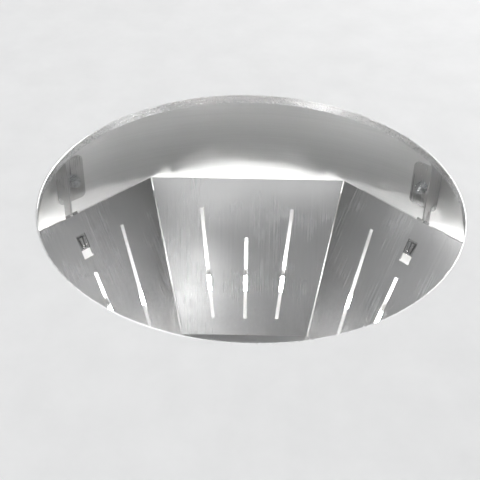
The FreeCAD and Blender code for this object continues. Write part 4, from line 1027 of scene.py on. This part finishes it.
@dataclass
class WallFixings:
    """Brackets on the drum wall with their studs, nuts and washers.

    Attributes:
        workshop: Frame and piece calls.
        thread_pitch: Pitch of the stud's thread.
        thread_depth: Depth of the stud's thread.
    """

    workshop: Workshop
    thread_pitch: float = 1.25 * MM
    thread_depth: float = 0.55 * MM
    stud_radius: float = 4.0 * MM
    stud_head_radius: float = 7.0 * MM
    stud_head_height: float = 1.5 * MM
    nut_flats: float = 13.0 * MM
    washer_bore: float = 4.2 * MM
    washer_radius: float = 8.5 * MM

    @staticmethod
    def inwards(island: Island) -> Vector:
        """Level direction from an island to the hood's axis."""
        return -Vector((island.centre.x, island.centre.y, 0.0)).normalized()

    def places(self, node: str) -> list[tuple[Matrix, float]]:
        """Where each of a node's solids starts, and its length, towards the axis."""
        found = []
        for island in islands(self.workshop.nodes[node]):
            axis = self.inwards(island)
            start, end = island.span(axis)
            found.append((island.place(axis, start), end - start))
        return found

    def stud(self, length: float) -> bmesh.types.BMesh:
        """Threaded stud with a flat head at its foot."""
        stack = RingStack(24, 0.9 * self.stud_head_radius)
        head = self.stud_head_radius
        stack.grow((head, 0.2 * self.stud_head_height), (head, self.stud_head_height))
        stack.grow((self.stud_radius, self.stud_head_height))
        root = self.stud_radius - self.thread_depth
        height = self.stud_head_height + 2 * self.thread_pitch
        stack.grow((self.stud_radius, height))
        while height < length - 1.6 * self.thread_pitch:
            stack.grow((root, height + 0.4 * self.thread_pitch), (root, height + 0.5 * self.thread_pitch))
            height += self.thread_pitch
            stack.grow((self.stud_radius, height - 0.1 * self.thread_pitch), (self.stud_radius, height))
        stack.grow((root, length - 0.2 * self.thread_pitch), (0.8 * root, length))
        return stack.closed()

    def nut(self, height: float) -> bmesh.types.BMesh:
        """Hexagon nut with chamfered corners and a countersunk bore."""
        corner = self.nut_flats / 2 / math.cos(math.pi / 6)
        bm = bmesh.new()
        first_corner = Vector((0, 1, 0))
        middle = Matrix.Translation((0, 0, height / 2))
        bmesh.ops.create_cone(
            bm, cap_ends=True, segments=6, radius1=corner, radius2=corner, depth=height, matrix=middle
        )
        for top in (True, False):
            face_height = height if top else 0.0
            for step in range(6):
                outward = Matrix.Rotation(math.radians(60 * step), 3, "Z") @ first_corner
                normal = (outward * 0.5 + Vector((0, 0, 0.87 if top else -0.87))).normalized()
                point = outward * (self.nut_flats / 2) + Vector((0, 0, face_height))
                cut = bmesh.ops.bisect_plane(
                    bm, geom=[*bm.verts, *bm.edges, *bm.faces], plane_co=point, plane_no=normal,
                    clear_outer=True, dist=MERGE_DISTANCE / 10,
                )["geom_cut"]
                rim = [item for item in cut if isinstance(item, bmesh.types.BMEdge)]
                bmesh.ops.holes_fill(bm, edges=rim, sides=0)
        bm.normal_update()
        top_face = max(bm.faces, key=lambda face: face.calc_center_median().z)
        for inset, sink in ((1.35 * MM, 0.0), (0.6 * MM, -0.5 * MM)):
            bmesh.ops.inset_region(bm, faces=[top_face], thickness=inset, depth=0.0)
            bmesh.ops.translate(bm, vec=(0, 0, sink), verts=top_face.verts)
        bmesh.ops.recalc_face_normals(bm, faces=bm.faces)
        return bm

    def washer(self, height: float) -> bmesh.types.BMesh:
        """Flat washer with eased edges."""
        ease = 0.25 * MM
        profile = (
            (self.washer_bore, ease), (self.washer_bore + ease, 0.0), (self.washer_radius - ease, 0.0),
            (self.washer_radius, ease), (self.washer_radius, height - ease),
            (self.washer_radius - ease, height), (self.washer_bore + ease, height),
            (self.washer_bore, height - ease),
        )
        return turned(profile, 48)

    def build(self) -> None:
        """Build and dress every fixing on the drum wall."""
        shop = self.workshop
        shop.ease("wall_brackets", BrushedSteel("steel_bracket", tone=0.5, grain=Grain.ALONG_Z), 0.35 * MM)
        zinc = PlatedMetal("zinc_plated", colour=(0.66, 0.67, 0.68), roughness=0.26)
        builders: dict[str, Callable[[float], bmesh.types.BMesh]] = {
            "bracket_studs": self.stud, "bracket_nuts": self.nut, "bracket_washers": self.washer,
        }
        for node, builder in builders.items():
            places = self.places(node)
            mesh = repeated(builder(places[0][1]), [place for place, _ in places])
            shop.add(f"{node}_turned", mesh, node, zinc)


@dataclass
class PanScrews:
    """Small pan-head screws all over the hood.

    Attributes:
        workshop: Frame and piece calls.
        head_radius: Radius of the head.
        head_height: Height of the head.
        shank_radius: Radius of the shank.
    """

    workshop: Workshop
    head_radius: float = 3.8 * MM
    head_height: float = 2.4 * MM
    shank_radius: float = 2.0 * MM

    def screw(self, length: float) -> bmesh.types.BMesh:
        """Domed head with a hexagon socket, and a plain shank below it."""
        head, tall = self.head_radius, self.head_height
        stack = RingStack(24, 0.8 * self.shank_radius, tall - length)
        stack.grow((self.shank_radius, tall - length + 0.4 * MM), (self.shank_radius, 0.0))
        stack.grow((0.94 * head, 0.0), (head, 0.12 * tall), (head, 0.4 * tall))
        stack.grow((0.93 * head, 0.72 * tall), (0.76 * head, 0.94 * tall), (0.6 * head, tall))
        return stack.socket(6, 0.4 * head, 0.55 * tall).closed()

    def build(self) -> None:
        """Stand a detailed screw on each plain one."""
        shop = self.workshop
        by_length: dict[float, list[Matrix]] = {}
        for island in islands(shop.nodes["pan_screws"]):
            size = island.high - island.low
            lengths = [part if abs(part - 2 * self.head_radius) > 0.2 * MM else 0.0 for part in size]
            side = lengths.index(max(lengths))
            axis = Vector(1.0 if i == side else 0.0 for i in range(3))
            low, high = island.span(axis)
            reach = 0.8 * self.head_radius
            wide = [
                point for point in island.points if (point - island.centre).cross(axis).length > reach
            ]
            head_reach = sum(point.dot(axis) for point in wide) / len(wide)
            if head_reach < (low + high) / 2:
                axis = -axis
                low, high = -high, -low
            by_length.setdefault(round(high - low, 5), []).append(island.place(axis, high - self.head_height))
        joined = bmesh.new()
        for length, places in sorted(by_length.items()):
            absorb(joined, repeated(self.screw(length), places))
        shop.add("pan_screws_socketed", joined, "pan_screws", PlatedMetal("zinc_screw", roughness=0.3))


@dataclass
class Lights:
    """Light bars, lenses and their driver."""

    workshop: Workshop

    def build(self) -> None:
        """Dress the lights."""
        shop = self.workshop
        shop.dress("light_bars", PlatedMetal("aluminium_channel", colour=grey(0.75), roughness=0.35))
        shop.dress("light_lenses", OpalLens("opal_lens"))
        shop.ease("light_driver", MouldedPlastic("driver_case"), 1.0 * MM)


@dataclass
class Blower:
    """Blower, motor, collar and damper."""

    workshop: Workshop

    def build(self) -> None:
        """Dress the blower."""
        shop = self.workshop
        sheet = GalvanisedSheet("galvanised_sheet")
        for node in (
            "blower_housing", "outlet_collar", "cross_bars", "motor_bracket",
            "damper_flap_1", "damper_flap_2",
        ):
            shop.dress(node, sheet)
        shop.dress("blower_wheel", MouldedPlastic("wheel_moulding", colour=grey(0.08), roughness=0.5))
        paint = MouldedPlastic(
            "motor_paint", colour=grey(0.25), roughness=0.5, texture_size=1.2 * MM, texture_depth=0.08 * MM
        )
        shop.dress("motor_shell", paint)
        shop.dress("motor_stator", WoundCopper("stator_windings"))
        ground = PlatedMetal("steel_ground", roughness=0.2)
        for node in ("motor_rotor", "shaft_bearings", "damper_pin"):
            shop.dress(node, ground)
        shop.dress("capacitor", MouldedPlastic("capacitor_case", colour=grey(0.06), roughness=0.35))


@dataclass
class Chimney:
    """Chimney covers, support rails and ceiling plate."""

    workshop: Workshop

    def build(self) -> None:
        """Dress the chimney."""
        shop = self.workshop
        coat = PowderCoat("white_powder_coat")
        for node in ("lower_cover", "upper_cover"):
            shop.ease(node, coat, 0.4 * MM)
        sheet = GalvanisedSheet("galvanised_sheet")
        for node in ("support_rails", "ceiling_plate"):
            shop.ease(node, sheet, 0.3 * MM)
        shop.dress("rail_bolts", PlatedMetal("zinc_bolt", roughness=0.3))
        rubber = MouldedPlastic("black_rubber", colour=grey(0.03), roughness=0.6, texture_size=0.8 * MM)
        shop.dress("cable_grommet", rubber)
        shop.dress("cable_gland", rubber)
        shop.ease("terminal_box", MouldedPlastic("terminal_case"), 0.8 * MM)


@dataclass
class Controls:
    """Button strip on the canopy's side.

    Attributes:
        workshop: Frame and piece calls.
        buttons: CAD nodes of the push buttons.
    """

    workshop: Workshop
    buttons: tuple[str, ...] = (
        "fan_off_button", "fan_low_button", "fan_middle_button", "fan_high_button", "light_button",
    )

    def build(self) -> None:
        """Dress the controls."""
        shop = self.workshop
        shop.ease("control_fascia", MouldedPlastic("fascia_moulding", roughness=0.35), 0.5 * MM)
        shop.dress("control_board", LacqueredBoard("board_lacquer"))
        cap = PlatedMetal("button_satin", colour=grey(0.72), roughness=0.28, mark_size=0.6 * MM)
        for node in self.buttons:
            shop.ease(node, cap, 0.5 * MM)


# --- studio ----------------------------------------------------------------------------


@dataclass(frozen=True)
class SoftBox:
    """A square area lamp that looks at a point.

    Attributes:
        name: The lamp's name.
        place: Where it stands, in metres.
        target: What it looks at.
        size: Side of the square.
        power: Its power in watts.
    """

    name: str
    place: Triple
    target: Triple
    size: float
    power: float

    def build(self) -> None:
        """Add the lamp."""
        data = bpy.data.lights.new(self.name, "AREA")
        data.shape = "SQUARE"
        data.size = self.size
        data.energy = self.power
        lamp = bpy.data.objects.new(self.name, data)
        lamp.location = self.place
        aim = Vector(self.target) - Vector(self.place)
        lamp.rotation_euler = aim.to_track_quat("-Z", "Y").to_euler()
        lamp.visible_camera = False
        bpy.context.scene.collection.objects.link(lamp)


@dataclass
class Studio:
    """Floor, backdrop light and camera.

    Attributes:
        floor_height: Height of the floor below the ceiling mount.
        floor_half: Half the floor's side.
        lens: Focal length in millimetres.
        eye: Where the camera stands.
        heading: Turn of the camera's view off the X axis.
        climb: How far the view points above the horizon.
        roll: Turn about the line of sight, past the half turn that puts the far side on top.
        world_light: Strength of the surroundings as a light.
        world_shown: Strength of the surroundings to the camera and in mirrors.
    """

    floor_height: float = -2.6
    floor_half: float = 7.0
    lens: float = 70.83
    eye: Triple = (-0.7386, -0.0144, -1.5086)
    heading: float = 0.0059
    climb: float = 0.6486
    roll: float = 0.0213
    world_light: float = 0.55
    world_shown: float = 0.95
    lamps: tuple[SoftBox, ...] = (
        SoftBox("key_softbox", (1.7, 1.5, -2.3), (0.2, 0.1, -1.0), 1.8, 62.0),
        SoftBox("fill_softbox", (-0.6, -1.3, -2.4), (0.0, 0.0, -1.0), 2.0, 22.0),
        SoftBox("top_softbox", (-1.6, -2.6, 1.4), (0.0, 0.0, -0.5), 2.4, 60.0),
    )

    def build(self) -> None:
        """Set up the studio."""
        self.build_floor()
        self.build_world()
        self.build_camera()
        for lamp in self.lamps:
            lamp.build()

    def pale(self, graph: ShaderGraph, shade: float, shown: float) -> bpy.types.NodeSocket:
        """Emission that shows pale to the camera and in reflections, and not to light.

        Args:
            graph: The graph of the floor's material.
            shade: Strength for other rays.
            shown: Strength for the camera and mirrors.

        Returns:
            The strength socket.
        """
        path = graph.node("ShaderNodeLightPath")
        seen = graph.node("ShaderNodeMath", operation="MAXIMUM")
        graph.feed(seen.inputs[0], path.outputs["Is Camera Ray"])
        graph.feed(seen.inputs[1], path.outputs["Is Glossy Ray"])
        return graph.range(seen.outputs[0], shade, shown, 0.0, 1.0)

    def build_floor(self) -> None:
        """Plain pale floor."""
        bm = bmesh.new()
        place = Matrix.Translation((0, 0, self.floor_height))
        bmesh.ops.create_grid(bm, x_segments=1, y_segments=1, size=self.floor_half, matrix=place)
        mesh = bpy.data.meshes.new("studio_floor")
        bm.to_mesh(mesh)
        bm.free()
        graph = ShaderGraph("studio_floor")
        cloud = graph.noise(graph.pattern_space((0.5,) * 3))
        colour = graph.blend(graph.range(cloud, 0.0, 1.0), grey(0.8), grey(0.78))
        graph.feed(graph.shader.inputs["Emission Color"], (1.0, 1.0, 1.0, 1.0))
        graph.feed(graph.shader.inputs["Emission Strength"], self.pale(graph, 0.0, 0.3))
        mesh.materials.append(graph.finish(colour, 0.9))
        floor = bpy.data.objects.new("studio_floor", mesh)
        bpy.context.scene.collection.objects.link(floor)

    def build_world(self) -> None:
        """Even pale surroundings."""
        world = bpy.data.worlds.new("studio_world")
        world.use_nodes = True
        tree = world.node_tree
        background = tree.nodes["Background"]
        background.inputs["Color"].default_value = (0.92, 0.93, 0.94, 1.0)
        path = tree.nodes.new("ShaderNodeLightPath")
        seen = tree.nodes.new("ShaderNodeMath")
        seen.operation = "MAXIMUM"
        level = tree.nodes.new("ShaderNodeMapRange")
        level.inputs["To Min"].default_value = self.world_light
        level.inputs["To Max"].default_value = self.world_shown
        tree.links.new(path.outputs["Is Camera Ray"], seen.inputs[0])
        tree.links.new(path.outputs["Is Glossy Ray"], seen.inputs[1])
        tree.links.new(seen.outputs[0], level.inputs["Value"])
        tree.links.new(level.outputs["Result"], background.inputs["Strength"])
        bpy.context.scene.world = world

    def build_camera(self) -> None:
        """Camera below the hood, looking up into the opening with the far side on top."""
        ahead = Vector((math.cos(self.heading), math.sin(self.heading), 0.0))
        level = Vector((-math.sin(self.heading), math.cos(self.heading), 0.0))
        upward = Vector((0, 0, 1))
        sight = ahead * math.cos(self.climb) + upward * math.sin(self.climb)
        down = upward * math.cos(self.climb) - ahead * math.sin(self.climb)
        right = level * math.cos(self.roll) - down * math.sin(self.roll)
        lower = level * math.sin(self.roll) + down * math.cos(self.roll)
        data = bpy.data.cameras.new("opening_camera")
        data.lens = self.lens
        data.clip_start, data.clip_end = 0.01, 100.0
        camera = bpy.data.objects.new("opening_camera", data)
        turn = Matrix((right, -lower, -sight)).transposed()
        camera.matrix_world = Matrix.Translation(self.eye) @ turn.to_4x4()
        bpy.context.scene.collection.objects.link(camera)
        bpy.context.scene.camera = camera
        bpy.context.scene.view_settings.view_transform = "Standard"


def main() -> None:
    """Build the hood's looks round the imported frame."""
    logging.basicConfig(level=logging.INFO, format="%(message)s")
    workshop = Workshop(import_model())
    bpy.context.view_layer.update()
    for assembly in (Canopy, Funnel, WallFixings, PanScrews, Lights, Blower, Chimney, Controls):
        assembly(workshop).build()
        LOG.info("%s is built", assembly.__name__)
    Studio().build()


if __name__ == "__main__":
    main()
